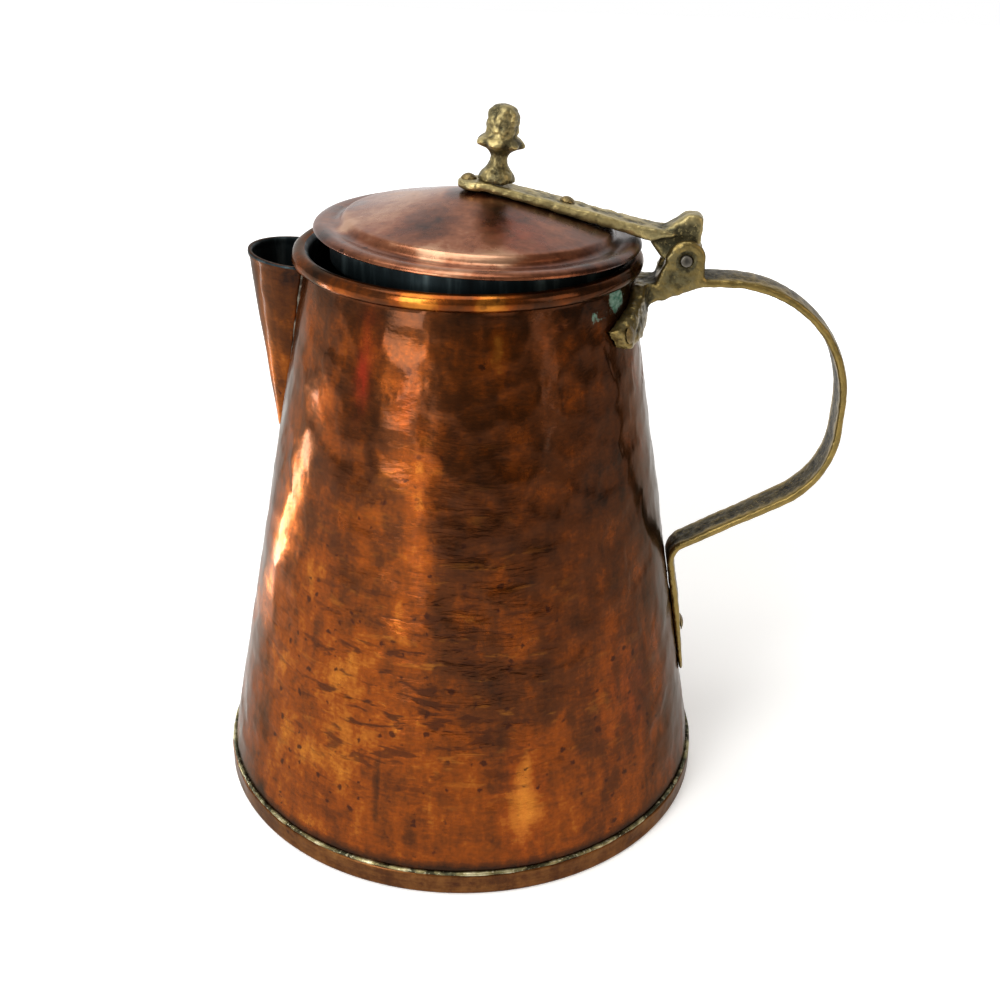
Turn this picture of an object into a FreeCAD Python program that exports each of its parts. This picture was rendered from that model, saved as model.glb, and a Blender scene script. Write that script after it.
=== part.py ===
import FreeCAD, Part
import math
import operator
import os

import Sketcher

# Coffee pot of hammered, tinned copper with cast brass fittings, in millimetres.
# The origin is the centre of the flat base, +Z is up, the handle points along +X and the spout along -X.
# The body is a rolled cone with a wired rim. Its base is a pan whose flange is brazed round the foot.
# The handle is one casting: hinge ears, two arms that hug the neck, a strap loop and a riveted tail.
# The lid turns on a pin in the ears and hangs from a cast strap that ends in a thumbpiece.

doc = FreeCAD.newDocument("CoffeePot")
sheet = doc.addObject("Spreadsheet::Sheet", "Sizes")

SIZES = {
    # Base pan and body wall
    "base_radius": 96.0,
    "base_sheet": 1.4,
    "band_height": 8.7,
    "seam_gap": 0.05,
    "wall_sheet": 1.2,
    "neck_radius": 57.0,
    "rim_height": 209.4,
    "wire_radius": 1.75,
    "curl_angle": 260.0,
    "braze_width": 1.5,
    # Spout beak
    "spout_angle": 7.0,
    "spout_sheet": 1.0,
    "mouth_drop": 2.4,
    "mouth_angle": 6.0,
    "mouth_radius": 18.5,
    "mouth_overhang": 23.6,
    "beak_length": 70.0,
    "beak_tip_radius": 2.6,
    "beak_tip_bulge": 3.4,
    "spout_braze": 1.0,
    "strainer_radius": 1.9,
    "strainer_pitch": 8.0,
    "strainer_drop": 27.4,
    # Handle casting
    "handle_reach": 139.3,
    "handle_drop": 4.2,
    "strap_width": 15.6,
    "tail_width": 12.5,
    "strap_depth": 3.3,
    "strap_crown": 0.7,
    "upper_bend": 47.0,
    "grip_run": 10.0,
    "lower_bend": 35.7,
    "grip_angle": 30.0,
    "tail_bend": 6.0,
    "tail_drop": 166.7,
    "tail_tip_depth": 1.4,
    "tail_taper": 37.5,
    "arm_depth": 4.6,
    "arm_width": 7.0,
    "arm_slant": 1.8,
    "arm_spread": 34.0,
    "arm_drop": 12.0,
    "root_gap": 4.0,
    "root_height": 10.4,
    "root_flare": 1.2,
    "seat_gap": 0.1,
    # Hinge
    "pin_overhang": 19.1,
    "pin_rise": 1.8,
    "pin_radius": 2.0,
    "pin_fit": 0.05,
    "pin_stand": 0.8,
    "ear_radius": 6.8,
    "ear_depth": 3.8,
    "slot_width": 8.4,
    "knuckle_gap": 0.35,
    "knuckle_radius": 4.6,
    "ear_gap": 1.0,
    # Rivets
    "rivet_radius": 1.9,
    "rivet_head_radius": 3.4,
    "rivet_head_height": 1.1,
    "head_gap": 0.3,
    "bore_length": 20.0,
    "arm_rivet_place": 29.303,
    "arm_rivet_drop": 18.4,
    "tail_rivet_rise": 21.5,
    "lid_rivet_radius": 1.4,
    "lid_rivet_head_radius": 2.8,
    "lid_rivet_head_height": 1.7,
    # Lid
    "lid_offset": 3.3,
    "lid_lift": 4.8,
    "lid_rest_angle": 2.0,
    "lid_overhang": 0.5,
    "lid_sheet": 1.1,
    "lip_depth": 1.9,
    "brim_height": 2.2,
    "brim_width": 9.6,
    "brim_round": 1.8,
    "cove_radius": 1.2,
    "shoulder_radius": 1.6,
    "lid_rise": 15.2,
    "crown_radius": 2.5,
    "collar_gap": 4.2,
    "collar_sheet": 0.9,
    "collar_drop": 10.0,
    # Lid strap and finial
    "lid_strap_width": 13.0,
    "lid_strap_depth": 3.1,
    "lid_strap_tip": 8.0,
    "lid_strap_lift": 0.4095,
    "throat_reach": 13.2,
    "throat_depth": 4.2,
    "heel_reach": 7.8,
    "heel_drop": 1.5,
    "thumb_root": 0.8,
    "thumb_rise": 15.0,
    "thumb_depth": 5.6,
    "thumb_width": 9.0,
    "thumb_round": 1.4,
    "thumb_hollow": 30.0,
    "front_rivet_place": 4.2,
    "rear_rivet_place": 29.4,
    "finial_place": 5.2,
    "finial_angle": 3.5,
    "finial_foot_radius": 6.0,
    "finial_foot_edge": 1.3,
    "finial_flare": 6.4,
    "finial_waist_radius": 2.4,
    "finial_waist_height": 7.4,
    "finial_petal_radius": 8.0,
    "finial_petal_height": 13.2,
    "finial_petal_lip": 1.3,
    "finial_bud_radius": 5.6,
    "finial_bud_height": 15.7,
    "finial_bud_curve": 9.0,
    "finial_tip_radius": 2.6,
    "finial_height": 25.6,
    "tenon_radius": 2.2,
    "peen_radius": 3.2,
    "peen_height": 1.0,
    "rove_radius": 4.0,
    "rove_depth": 0.9,
}

for row, (alias, number) in enumerate(SIZES.items(), start=1):
    sheet.set(f"A{row}", alias)
    sheet.set(f"B{row}", str(number))
    sheet.setAlias(f"B{row}", alias)
doc.recompute()


class Size:
    """A number together with the sheet formula that it comes from, so that sums keep both."""

    def __init__(self, formula, value):
        self.formula = formula
        self.value = value

    def __add__(self, other):
        return combine(self, "+", other)

    def __radd__(self, other):
        return combine(other, "+", self)

    def __sub__(self, other):
        return combine(self, "-", other)

    def __rsub__(self, other):
        return combine(other, "-", self)

    def __mul__(self, other):
        return combine(self, "*", other)

    def __rmul__(self, other):
        return combine(other, "*", self)

    def __truediv__(self, other):
        return combine(self, "/", other)

    def __rtruediv__(self, other):
        return combine(other, "/", self)

    def __neg__(self):
        return combine(0, "-", self)


SIGNS = {"+": operator.add, "-": operator.sub, "*": operator.mul, "/": operator.truediv}


def as_size(number):
    """A plain number as a Size."""
    if isinstance(number, Size):
        return number
    return Size(f"({number})", float(number))


def combine(left, sign, right):
    """Two sizes joined by one of the four signs."""
    left = as_size(left)
    right = as_size(right)
    return Size(f"({left.formula} {sign} {right.formula})", SIGNS[sign](left.value, right.value))


def sine(angle):
    return Size(f"sin({angle.formula} * 1 deg)", math.sin(math.radians(angle.value)))


def cosine(angle):
    return Size(f"cos({angle.formula} * 1 deg)", math.cos(math.radians(angle.value)))


def tangent(angle):
    return Size(f"tan({angle.formula} * 1 deg)", math.tan(math.radians(angle.value)))


def arcsine(number):
    return Size(f"(asin({number.formula}) / 1 deg)", math.degrees(math.asin(number.value)))


def arctangent(number):
    return Size(f"(atan({number.formula}) / 1 deg)", math.degrees(math.atan(number.value)))


def root(number):
    return Size(f"sqrt({number.formula})", math.sqrt(number.value))


def cell(alias):
    """The size that a cell of the sheet holds."""
    return Size(f"Sizes.{alias}", SIZES[alias])


def new_body(label, placement=None):
    """A body that is one sub-part, with its place worked out from the sheet."""
    body = doc.addObject("PartDesign::Body", label)
    body.Label = label
    if placement:
        body.setExpression("Placement", placement)
    return body


def new_sketch(body, name, role, offset=None):
    """A sketch on one of the body's own origin planes, or parallel to it by an offset."""
    sketch = body.newObject("Sketcher::SketchObject", name)
    plane = next(feature for feature in body.Origin.OriginFeatures if feature.Role == role)
    sketch.AttachmentSupport = [(plane, "")]
    sketch.MapMode = "FlatFace"
    if offset:
        sketch.setExpression("AttachmentOffset", offset)
    return sketch


def bind(sketch, constraint, size):
    """One constraint of a sketch, tied to the sheet."""
    index = sketch.addConstraint(constraint)
    sketch.setExpression(f"Constraints[{index}]", size.formula)


def pin_point(sketch, edge, end, point):
    """Holds one end of an edge at a point of the sketch."""
    bind(sketch, Sketcher.Constraint("DistanceX", -1, 1, edge, end, point[0].value), point[0])
    bind(sketch, Sketcher.Constraint("DistanceY", -1, 1, edge, end, point[1].value), point[1])


def arc_between(start, end, radius, turn):
    """The short arc of a radius from start to end that turns left or right."""
    chord = end - start
    side = FreeCAD.Vector(-chord.y, chord.x, 0).normalize()
    if turn == "right":
        side = side * -1
    depth = math.sqrt(max(radius ** 2 - (chord.Length / 2) ** 2, 0))
    centre = (start + end) * 0.5 + side * depth
    first, last = (start, end) if turn == "left" else (end, start)
    begin = math.atan2(first.y - centre.y, first.x - centre.x)
    finish = math.atan2(last.y - centre.y, last.x - centre.x)
    if finish < begin:
        finish += 2 * math.pi
    return Part.ArcOfCircle(Part.Circle(centre, FreeCAD.Vector(0, 0, 1), radius), begin, finish)


def outline(sketch, corners, closed=True):
    """Lines and arcs through corners (across, up) or (across, up, (turn, radius)).

    The turn and radius belong to the arc from that corner to the next one.
    """
    points = [(as_size(corner[0]), as_size(corner[1])) for corner in corners]
    spots = [FreeCAD.Vector(point[0].value, point[1].value, 0) for point in points]
    edges = []
    for place in range(len(corners) if closed else len(corners) - 1):
        start = spots[place]
        end = spots[(place + 1) % len(spots)]
        if len(corners[place]) == 2:
            edges.append((sketch.addGeometry(Part.LineSegment(start, end)), 1, 2))
            continue
        turn, radius = corners[place][2]
        edge = sketch.addGeometry(arc_between(start, end, radius.value, turn))
        edges.append((edge, 1, 2) if turn == "left" else (edge, 2, 1))
    for place, (edge, begin, finish) in enumerate(edges):
        pin_point(sketch, edge, begin, points[place])
        if place + 1 < len(edges) or closed:
            follower = edges[(place + 1) % len(edges)]
            sketch.addConstraint(Sketcher.Constraint("Coincident", edge, finish, follower[0], follower[1]))
        else:
            pin_point(sketch, edge, finish, points[-1])
        if len(corners[place]) > 2:
            radius = corners[place][2][1]
            bind(sketch, Sketcher.Constraint("Radius", edge, radius.value), radius)


def ring(sketch, across, up, radius):
    """One circle in a sketch."""
    across = as_size(across)
    up = as_size(up)
    centre = FreeCAD.Vector(across.value, up.value, 0)
    edge = sketch.addGeometry(Part.Circle(centre, FreeCAD.Vector(0, 0, 1), radius.value))
    pin_point(sketch, edge, 3, (across, up))
    bind(sketch, Sketcher.Constraint("Radius", edge, radius.value), radius)


def turned(body, name, corners, kind="Revolution"):
    """A profile in the XZ plane turned about Z, as a solid or, by a Groove, as a cut."""
    sketch = new_sketch(body, f"{name}_profile", "XZ_Plane")
    outline(sketch, corners)
    feature = body.newObject(f"PartDesign::{kind}", name)
    feature.Profile = sketch
    feature.ReferenceAxis = (sketch, ["V_Axis"])
    feature.Angle = 360
    doc.recompute()
    return feature


def slab(body, name, sketch, width, kind="Pad"):
    """A sketch given a width, half on each side of its plane, as a Pad or a Pocket."""
    feature = body.newObject(f"PartDesign::{kind}", name)
    feature.Profile = sketch
    feature.SideType = "Symmetric"
    feature.setExpression("Length", width.formula)
    doc.recompute()
    return feature


def bored(body, name, place, turn, radius, length):
    """A round hole through a body: place is its middle, turn is the rotation that takes Z along it."""
    hole = body.newObject("PartDesign::SubtractiveCylinder", name)
    hole.setExpression("Radius", radius.formula)
    hole.setExpression("Height", length.formula)
    down = f"placement(vector(0; 0; 0 - {length.formula} / 2); rotation(vector(0; 0; 1); 0))"
    hole.setExpression("Placement", f"{placement(place, turn)} * {down}")
    doc.recompute()
    return hole


def lofted(body, name, sections, kind="AdditiveLoft"):
    """A skin through two sketches, as a solid or as a cut."""
    feature = body.newObject(f"PartDesign::{kind}", name)
    feature.Profile = sections[0]
    feature.Sections = [(sections[1], [""])]
    doc.recompute()
    return feature


def vector(across, along, up):
    return f"vector({as_size(across).formula}; {as_size(along).formula}; {as_size(up).formula})"


def turn_about(axis, angle):
    return f"rotation(vector({axis}); {as_size(angle).formula})"


def placement(place, turn, centre=None):
    """The text of a placement: a place, a rotation and the point that the rotation leaves still."""
    if centre is None:
        return f"placement({place}; {turn})"
    return f"placement({place}; {turn}; {centre})"


NO_TURN = turn_about("0; 0; 1", 0)

# Sizes shared by the body, the spout and the handle
base_radius = cell("base_radius")
base_sheet = cell("base_sheet")
band_height = cell("band_height")
seam_gap = cell("seam_gap")
wall_sheet = cell("wall_sheet")
neck_radius = cell("neck_radius")
rim_height = cell("rim_height")
seat_gap = cell("seat_gap")
foot_radius = base_radius - base_sheet - seam_gap
wall_fall = (foot_radius - neck_radius) / (rim_height - band_height)
wall_secant = root(1 + wall_fall * wall_fall)
curl_bore = cell("wire_radius") + seam_gap
curl_radius = curl_bore + wall_sheet
curl_centre = neck_radius - wall_sheet + curl_radius


def wall_radius(up):
    """Outer radius of the cone at a height."""
    return foot_radius - wall_fall * (up - band_height)


def cone_cut(stand, low, high, far=None):
    """Corners of a cut that stops at a cone standing off the wall, on its inner or its outer side."""
    edge = as_size(0) if far is None else far
    return [
        (edge, low),
        (wall_radius(low) + stand, low),
        (wall_radius(high) + stand, high),
        (edge, high),
    ]


def wall_turn(azimuth):
    """Rotation that takes Z square out of the cone at an azimuth."""
    rise = 90 - arctangent(wall_fall)
    return f"rotation({as_size(azimuth).formula}; {rise.formula}; 0)"


def wall_place(azimuth, up):
    """Point on the outside of the cone."""
    azimuth = as_size(azimuth)
    return vector(wall_radius(up) * cosine(azimuth), wall_radius(up) * sine(azimuth), up)


def make_base_pan():
    """Flat bottom disc with a flange turned up round the foot of the wall."""
    body = new_body("base_pan")
    edge_round = base_sheet + seam_gap
    turned(body, "base_dish", [
        (0, 0),
        (base_radius - edge_round, 0, ("left", edge_round)),
        (base_radius, edge_round),
        (base_radius, band_height),
        (base_radius - base_sheet, band_height),
        (base_radius - base_sheet, base_sheet),
        (0, base_sheet),
    ])
    return body


def make_base_braze():
    """Bright bead of brass braze along the top edge of the flange."""
    body = new_body("base_braze")
    braze = cell("braze_width")
    low = band_height + seam_gap
    turned(body, "braze_bead", [
        (foot_radius + seam_gap, low),
        (base_radius, low),
        (base_radius, low + braze / 3),
        (foot_radius + base_sheet / 2, low + braze),
        (wall_radius(low + braze) + seam_gap, low + braze),
    ])
    return body


def make_body_wall():
    """Rolled cone with its rim curled over a wire, rivet holes and strainer holes behind the spout."""
    body = new_body("body_wall")
    foot = base_sheet + seam_gap
    curl_end = cell("curl_angle")
    turned(body, "wall_cone", [
        (foot_radius - wall_sheet, foot),
        (foot_radius, foot),
        (foot_radius, band_height),
        (neck_radius, rim_height, ("right", curl_bore)),
        (curl_centre, rim_height + curl_bore, ("right", curl_bore)),
        (curl_centre + curl_bore, rim_height, ("right", curl_bore)),
        (curl_centre + curl_bore * cosine(curl_end), rim_height + curl_bore * sine(curl_end)),
        (curl_centre + curl_radius * cosine(curl_end), rim_height + curl_radius * sine(curl_end),
         ("left", curl_radius)),
        (curl_centre + curl_radius, rim_height, ("left", curl_radius)),
        (curl_centre, rim_height + curl_radius, ("left", curl_radius)),
        (neck_radius - wall_sheet, rim_height),
        (foot_radius - wall_sheet, band_height),
    ])
    rivet_bores(body)
    strainer = new_sketch(body, "strainer_holes", "YZ_Plane",
                          placement(vector(0, 0, 0), turn_about("0; 1; 0", -cell("spout_angle"))))
    pitch = cell("strainer_pitch")
    strainer_level = rim_height - cell("strainer_drop")
    for count, line in ((3, 0), (2, 1), (1, 2)):
        for place in range(count):
            ring(strainer, pitch * (place - (count - 1) / 2), strainer_level - pitch * line,
                 cell("strainer_radius"))
    holes = body.newObject("PartDesign::Pocket", "strainer")
    holes.Profile = strainer
    holes.setExpression("Length", foot_radius.formula)
    doc.recompute()
    return body


def make_rim_wire():
    """Iron wire inside the curled rim."""
    wire = doc.addObject("Part::Torus", "rim_wire")
    wire.setExpression("Radius1", curl_centre.formula)
    wire.setExpression("Radius2", cell("wire_radius").formula)
    wire.setExpression("Placement.Base.z", rim_height.formula)
    doc.recompute()
    return wire


# Sizes of the spout, which stands out along -X and is then turned a little off the handle's plane
mouth_radius = cell("mouth_radius")
mouth_centre = neck_radius + cell("mouth_overhang") - mouth_radius
mouth_top = rim_height - cell("mouth_drop")
mouth_level = mouth_top - mouth_radius * sine(cell("mouth_angle"))
tip_level = mouth_top - cell("beak_length")
tip_radius = cell("beak_tip_radius")
tip_centre = wall_radius(tip_level) + cell("beak_tip_bulge") - tip_radius
SPOUT_PLACE = placement(vector(0, 0, 0), turn_about("0; 0; 1", -cell("spout_angle")))


def beak_sections(body, name, swell, drop):
    """Circles at the tip and the mouth of the beak, swollen or shrunk, with the tip lowered by a drop."""
    tip = new_sketch(body, f"{name}_tip", "XY_Plane",
                     placement(vector(-tip_centre, 0, tip_level - drop), NO_TURN))
    ring(tip, 0, 0, tip_radius + swell)
    mouth = new_sketch(body, f"{name}_mouth", "XY_Plane",
                       placement(vector(-mouth_centre, 0, mouth_level),
                                 turn_about("0; 1; 0", cell("mouth_angle"))))
    ring(mouth, 0, 0, mouth_radius + swell)
    return tip, mouth


def make_spout_beak():
    """Half funnel of sheet, closed below and open above, whose edges lie on the wall."""
    body = new_body("spout_beak", SPOUT_PLACE)
    sheet_depth = cell("spout_sheet")
    lofted(body, "beak_skin", beak_sections(body, "outer", as_size(0), as_size(0)))
    lofted(body, "beak_hollow", beak_sections(body, "inner", -sheet_depth, -sheet_depth), "SubtractiveLoft")
    turned(body, "beak_seat", cone_cut(seam_gap, band_height, rim_height), "Groove")
    return body


def make_spout_braze():
    """Bead of braze where the beak's edges meet the wall."""
    body = new_body("spout_braze", SPOUT_PLACE)
    bead = cell("spout_braze")
    lofted(body, "bead_skin", beak_sections(body, "bead", bead, bead))
    lofted(body, "bead_bed", beak_sections(body, "bed", seam_gap, seam_gap), "SubtractiveLoft")
    turned(body, "bead_seat", cone_cut(seam_gap, band_height, rim_height), "Groove")
    turned(body, "bead_trim", cone_cut(seam_gap + bead, band_height, rim_height, base_radius), "Groove")
    return body


# Sizes of the hinge, shared by the handle, the pin and the lid
pin_reach = neck_radius + cell("pin_overhang")
pin_height = rim_height + cell("pin_rise")
pin_bore = cell("pin_radius") + cell("pin_fit")
ear_radius = cell("ear_radius")
slot_width = cell("slot_width")
clevis_width = slot_width + 2 * cell("ear_depth")

# Sizes of the handle's strap
handle_top = rim_height - cell("handle_drop")
strap_width = cell("strap_width")
strap_depth = cell("strap_depth")
tail_width = cell("tail_width")
along_tail = turn_about("1; 0; 0", 90 - arctangent(wall_fall))
tail_end = handle_top - cell("tail_drop")
tail_top = tail_end + cell("tail_taper")


def handle_path():
    """Middle line of the strap: over the top, round the grip, back to the wall and down it."""
    half = strap_depth / 2
    slope = cell("grip_angle")
    level = handle_top - half
    reach = cell("handle_reach") - half
    upper = cell("upper_bend") - half
    lower = cell("lower_bend") - half
    bend = cell("tail_bend") + half
    grip_end = level - upper - cell("grip_run")
    slope_across = reach - lower * (1 - sine(slope))
    slope_up = grip_end - lower * cosine(slope)
    stand = (half + seat_gap) * wall_secant
    run = slope_across - wall_radius(slope_up) - stand
    run = run / (cosine(slope) + wall_fall * sine(slope))
    corner_across = slope_across - run * cosine(slope)
    corner_up = slope_up - run * sine(slope)
    lean_sine = wall_fall / wall_secant
    lean_cosine = 1 / wall_secant
    turn_cosine = sine(slope) * lean_cosine - cosine(slope) * lean_sine
    turn_sine = cosine(slope) * lean_cosine + sine(slope) * lean_sine
    trim = bend * turn_sine / (1 + turn_cosine)
    return [
        (pin_reach, level),
        (reach - upper, level, ("right", upper)),
        (reach, level - upper),
        (reach, grip_end, ("right", lower)),
        (slope_across, slope_up),
        (corner_across + trim * cosine(slope), corner_up + trim * sine(slope), ("left", bend)),
        (corner_across + trim * lean_sine, corner_up - trim * lean_cosine),
        (wall_radius(tail_end) + stand, tail_end),
    ]


def strap_section(body, name, place, turn, width):
    """Section of the strap, square to its path: flat inside and crowned outside."""
    section = new_sketch(body, name, "YZ_Plane", placement(vector(0, place[1], place[0]), turn))
    crown = cell("strap_crown")
    half = strap_depth / 2
    half_width = width / 2
    crown_radius = (half_width * half_width + crown * crown) / (2 * crown)
    outline(section, [
        (-half_width, -half),
        (half_width, -half),
        (half_width, half - crown, ("left", crown_radius)),
        (-half_width, half - crown),
    ])
    return section


def make_handle():
    """One brass casting: two arms on the neck, a forked hinge block, the strap loop and its tail."""
    body = new_body("handle")
    arm_depth = cell("arm_depth")
    arm_width = cell("arm_width")
    spread = cell("arm_spread")
    root_top = rim_height - curl_radius - cell("root_gap")
    arm_end = root_top - cell("arm_drop")
    arm_low = arm_end - arm_width

    arms = new_sketch(body, "arms_outline", "YZ_Plane")
    shoulder = clevis_width / 2 + cell("root_flare")
    foot = root_top - cell("root_height")
    tip_in = spread - cell("arm_slant")
    tip_out = spread + cell("arm_slant")
    outline(arms, [
        (shoulder, root_top),
        (-shoulder, root_top),
        (-tip_out, arm_end + arm_width / 2),
        (-tip_in, arm_end - arm_width / 2),
        (0, foot),
        (tip_in, arm_end - arm_width / 2),
        (tip_out, arm_end + arm_width / 2),
    ])
    wings = body.newObject("PartDesign::Pad", "arms")
    wings.Profile = arms
    wings.setExpression("Length", pin_reach.formula)
    doc.recompute()
    turned(body, "arms_face", cone_cut(seat_gap + arm_depth, arm_low, rim_height, base_radius), "Groove")

    block = new_sketch(body, "clevis_outline", "XZ_Plane")
    outline(block, [
        (pin_reach + ear_radius, handle_top - strap_depth),
        (pin_reach + ear_radius, pin_height, ("left", ear_radius)),
        (pin_reach, pin_height + ear_radius, ("left", ear_radius)),
        (pin_reach - ear_radius, pin_height),
        (pin_reach - ear_radius - strap_depth, root_top),
        (neck_radius, root_top),
        (neck_radius, foot),
    ])
    slab(body, "clevis", block, clevis_width)

    slot = new_sketch(body, "slot_outline", "XZ_Plane")
    slot_end = pin_reach + 2 * ear_radius
    outline(slot, [
        (neck_radius, handle_top),
        (slot_end, handle_top),
        (slot_end, pin_height + 2 * ear_radius),
        (neck_radius, pin_height + 2 * ear_radius),
    ])
    slab(body, "slot", slot, slot_width, "Pocket")

    corners = handle_path()
    path = new_sketch(body, "strap_path", "XZ_Plane")
    outline(path, corners, closed=False)
    strap = body.newObject("PartDesign::AdditivePipe", "strap")
    strap.Profile = strap_section(body, "root_section", corners[0], NO_TURN, strap_width)
    strap.Spine = (path, [f"Edge{count + 1}" for count in range(len(path.Geometry))])
    strap.Sections = [(strap_section(body, "tail_section", corners[-1], along_tail, tail_width), [""])]
    strap.Transformation = "Multisection"
    doc.recompute()

    turned(body, "wall_seat", cone_cut(seat_gap, tail_end - strap_width, rim_height), "Groove")
    turned(body, "tail_taper", [
        (wall_radius(tail_end) + seat_gap + cell("tail_tip_depth"), tail_end),
        (base_radius + strap_width, tail_end),
        (base_radius + strap_width, tail_top),
        (wall_radius(tail_top) + (seat_gap + strap_depth) * wall_secant, tail_top),
    ], "Groove")
    half_tail = tail_width / 2
    tip = new_sketch(body, "tail_tip_outline", "YZ_Plane")
    outline(tip, [
        (-tail_width, tail_end - tail_width),
        (tail_width, tail_end - tail_width),
        (tail_width, tail_end + half_tail),
        (half_tail, tail_end + half_tail, ("right", half_tail)),
        (0, tail_end, ("right", half_tail)),
        (-half_tail, tail_end + half_tail),
        (-tail_width, tail_end + half_tail),
    ])
    slab(body, "tail_tip", tip, 3 * base_radius, "Pocket")

    bored(body, "pin_hole", vector(pin_reach, 0, pin_height), turn_about("1; 0; 0", 90), pin_bore,
          2 * clevis_width)
    rivet_bores(body)
    return body


def make_hinge_pin():
    """Plain iron pin through both ears, standing a little proud of them."""
    pin = doc.addObject("Part::Cylinder", "hinge_pin")
    length = clevis_width + 2 * cell("pin_stand")
    pin.setExpression("Radius", cell("pin_radius").formula)
    pin.setExpression("Height", length.formula)
    pin.setExpression("Placement", placement(vector(pin_reach, length / 2, pin_height),
                                             turn_about("1; 0; 0", 90)))
    doc.recompute()
    return pin


# The three rivets of the handle: name, azimuth, height and how deep the brass is there
arm_level = rim_height - cell("arm_rivet_drop")
arm_angle = arcsine(cell("arm_rivet_place") / wall_radius(arm_level))
tail_level = tail_end + cell("tail_rivet_rise")
tail_taper_run = (tail_level - tail_end) / (tail_top - tail_end)
tail_depth = cell("tail_tip_depth") + (strap_depth * wall_secant - cell("tail_tip_depth")) * tail_taper_run
HANDLE_RIVETS = [
    ("arm_rivet_near", -arm_angle, arm_level, cell("arm_depth") / wall_secant),
    ("arm_rivet_far", arm_angle, arm_level, cell("arm_depth") / wall_secant),
    ("tail_rivet", as_size(0), tail_level, tail_depth),
]


def rivet_bores(body):
    """Holes for the three rivets of the handle, square to the wall."""
    for name, azimuth, up, depth in HANDLE_RIVETS:
        bored(body, f"{name}_hole", wall_place(azimuth, up), wall_turn(azimuth),
              cell("rivet_radius") + seam_gap, cell("bore_length"))


def rivet_profile(shank, head, rise, low, high):
    """Half section of a rivet: a flat head below, a shank and a domed head above."""
    dome = (head * head + rise * rise) / (2 * rise)
    return [
        (0, low - rise),
        (head, low - rise),
        (head, low),
        (shank, low),
        (shank, high),
        (head, high, ("left", dome)),
        (0, high + rise),
    ]


def make_handle_rivets():
    """Copper rivets that hold the arms and the tail to the wall."""
    head = cell("rivet_head_radius")
    rivets = []
    for name, azimuth, up, depth in HANDLE_RIVETS:
        body = new_body(name, placement(wall_place(azimuth, up), wall_turn(azimuth)))
        inside = -wall_sheet - cell("head_gap")
        outside = depth + cell("head_gap")
        turned(body, f"{name}_solid", rivet_profile(cell("rivet_radius"), head, cell("rivet_head_height"),
                                                    inside, outside))
        rivets.append(body)
    return rivets


# Sizes of the lid, in a frame of its own: its axis is Z and its lip stands on the plane of zero height
lid_radius = neck_radius + cell("lid_overhang")
lid_height = rim_height + cell("lid_lift")
lid_sheet = cell("lid_sheet")
brim_height = cell("brim_height")
lid_rise = cell("lid_rise")
crown_radius = cell("crown_radius")
cove = cell("cove_radius")
shoulder_radius = cell("shoulder_radius")
step_radius = lid_radius - cell("brim_width")
dome_edge = step_radius - shoulder_radius
dome_foot = brim_height + cove + shoulder_radius
dome_fall = (lid_rise - dome_foot) / (dome_edge - crown_radius)
lid_pin_reach = pin_reach - cell("lid_offset")
lid_pin_height = pin_height - lid_height
LID_PLACE = placement(vector(cell("lid_offset"), 0, lid_height),
                      turn_about("0; 1; 0", cell("lid_rest_angle")),
                      vector(lid_pin_reach, 0, lid_pin_height))


def on_lid(place, turn=NO_TURN):
    """Placement of a piece at a place in the lid's own frame."""
    return f"{LID_PLACE} * {placement(place, turn)}"


# Sizes of the lid's strap and what goes through it
strap_seat = lid_rise + seat_gap
lid_strap_depth = cell("lid_strap_depth")
lid_strap_width = cell("lid_strap_width")
strap_fall = dome_fall - cell("lid_strap_lift") / (dome_edge - crown_radius)
finial_place = cell("finial_place")
front_place = -cell("front_rivet_place")
rear_place = cell("rear_rivet_place")
rear_level = strap_seat - (rear_place - crown_radius) * strap_fall
throat_place = lid_pin_reach - cell("throat_reach")
neck_place = throat_place - lid_strap_depth
strap_swell = (cell("throat_depth") - lid_strap_depth) / (neck_place - crown_radius)
finial_lean = cell("finial_angle")
finial_turn = turn_about("0; 1; 0", finial_lean)
finial_level = strap_seat + lid_strap_depth + seam_gap - (finial_place - crown_radius) * tangent(finial_lean)
tenon_bore = cell("tenon_radius") + seam_gap
lid_rivet_bore = cell("lid_rivet_radius") + seam_gap


def dome_level(radius):
    """Height of the dome's outside at a radius between its crown and its shoulder."""
    return lid_rise - (radius - crown_radius) * dome_fall


# The washer is centred on the leaning tenon and lies along the slope of the dome
rove_place = finial_place - (finial_level - dome_level(finial_place) + lid_sheet) * tangent(finial_lean)
rove_rise = cell("rove_depth") * root(1 + dome_fall * dome_fall)
rove_step = (crown_radius - rove_place + cell("rove_radius")) * dome_fall
rove_level = dome_level(rove_place) - lid_sheet - rove_step - rove_rise - seat_gap
rove_turn = turn_about("0; 1; 0", arctangent(dome_fall) - finial_lean)
tenon_turn = turn_about("0; 1; 0", finial_lean - arctangent(dome_fall))
FINIAL_PLACE = on_lid(vector(finial_place, 0, finial_level), finial_turn)


def lid_bores(body):
    """Holes for the finial's tenon and the two strap rivets."""
    length = cell("bore_length")
    bored(body, "tenon_hole", vector(finial_place, 0, finial_level), finial_turn, tenon_bore, length)
    bored(body, "front_hole", vector(front_place, 0, strap_seat), NO_TURN, lid_rivet_bore, length)
    bored(body, "rear_hole", vector(rear_place, 0, rear_level), turn_about("0; 1; 0", arctangent(strap_fall)),
          lid_rivet_bore, length)


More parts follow.
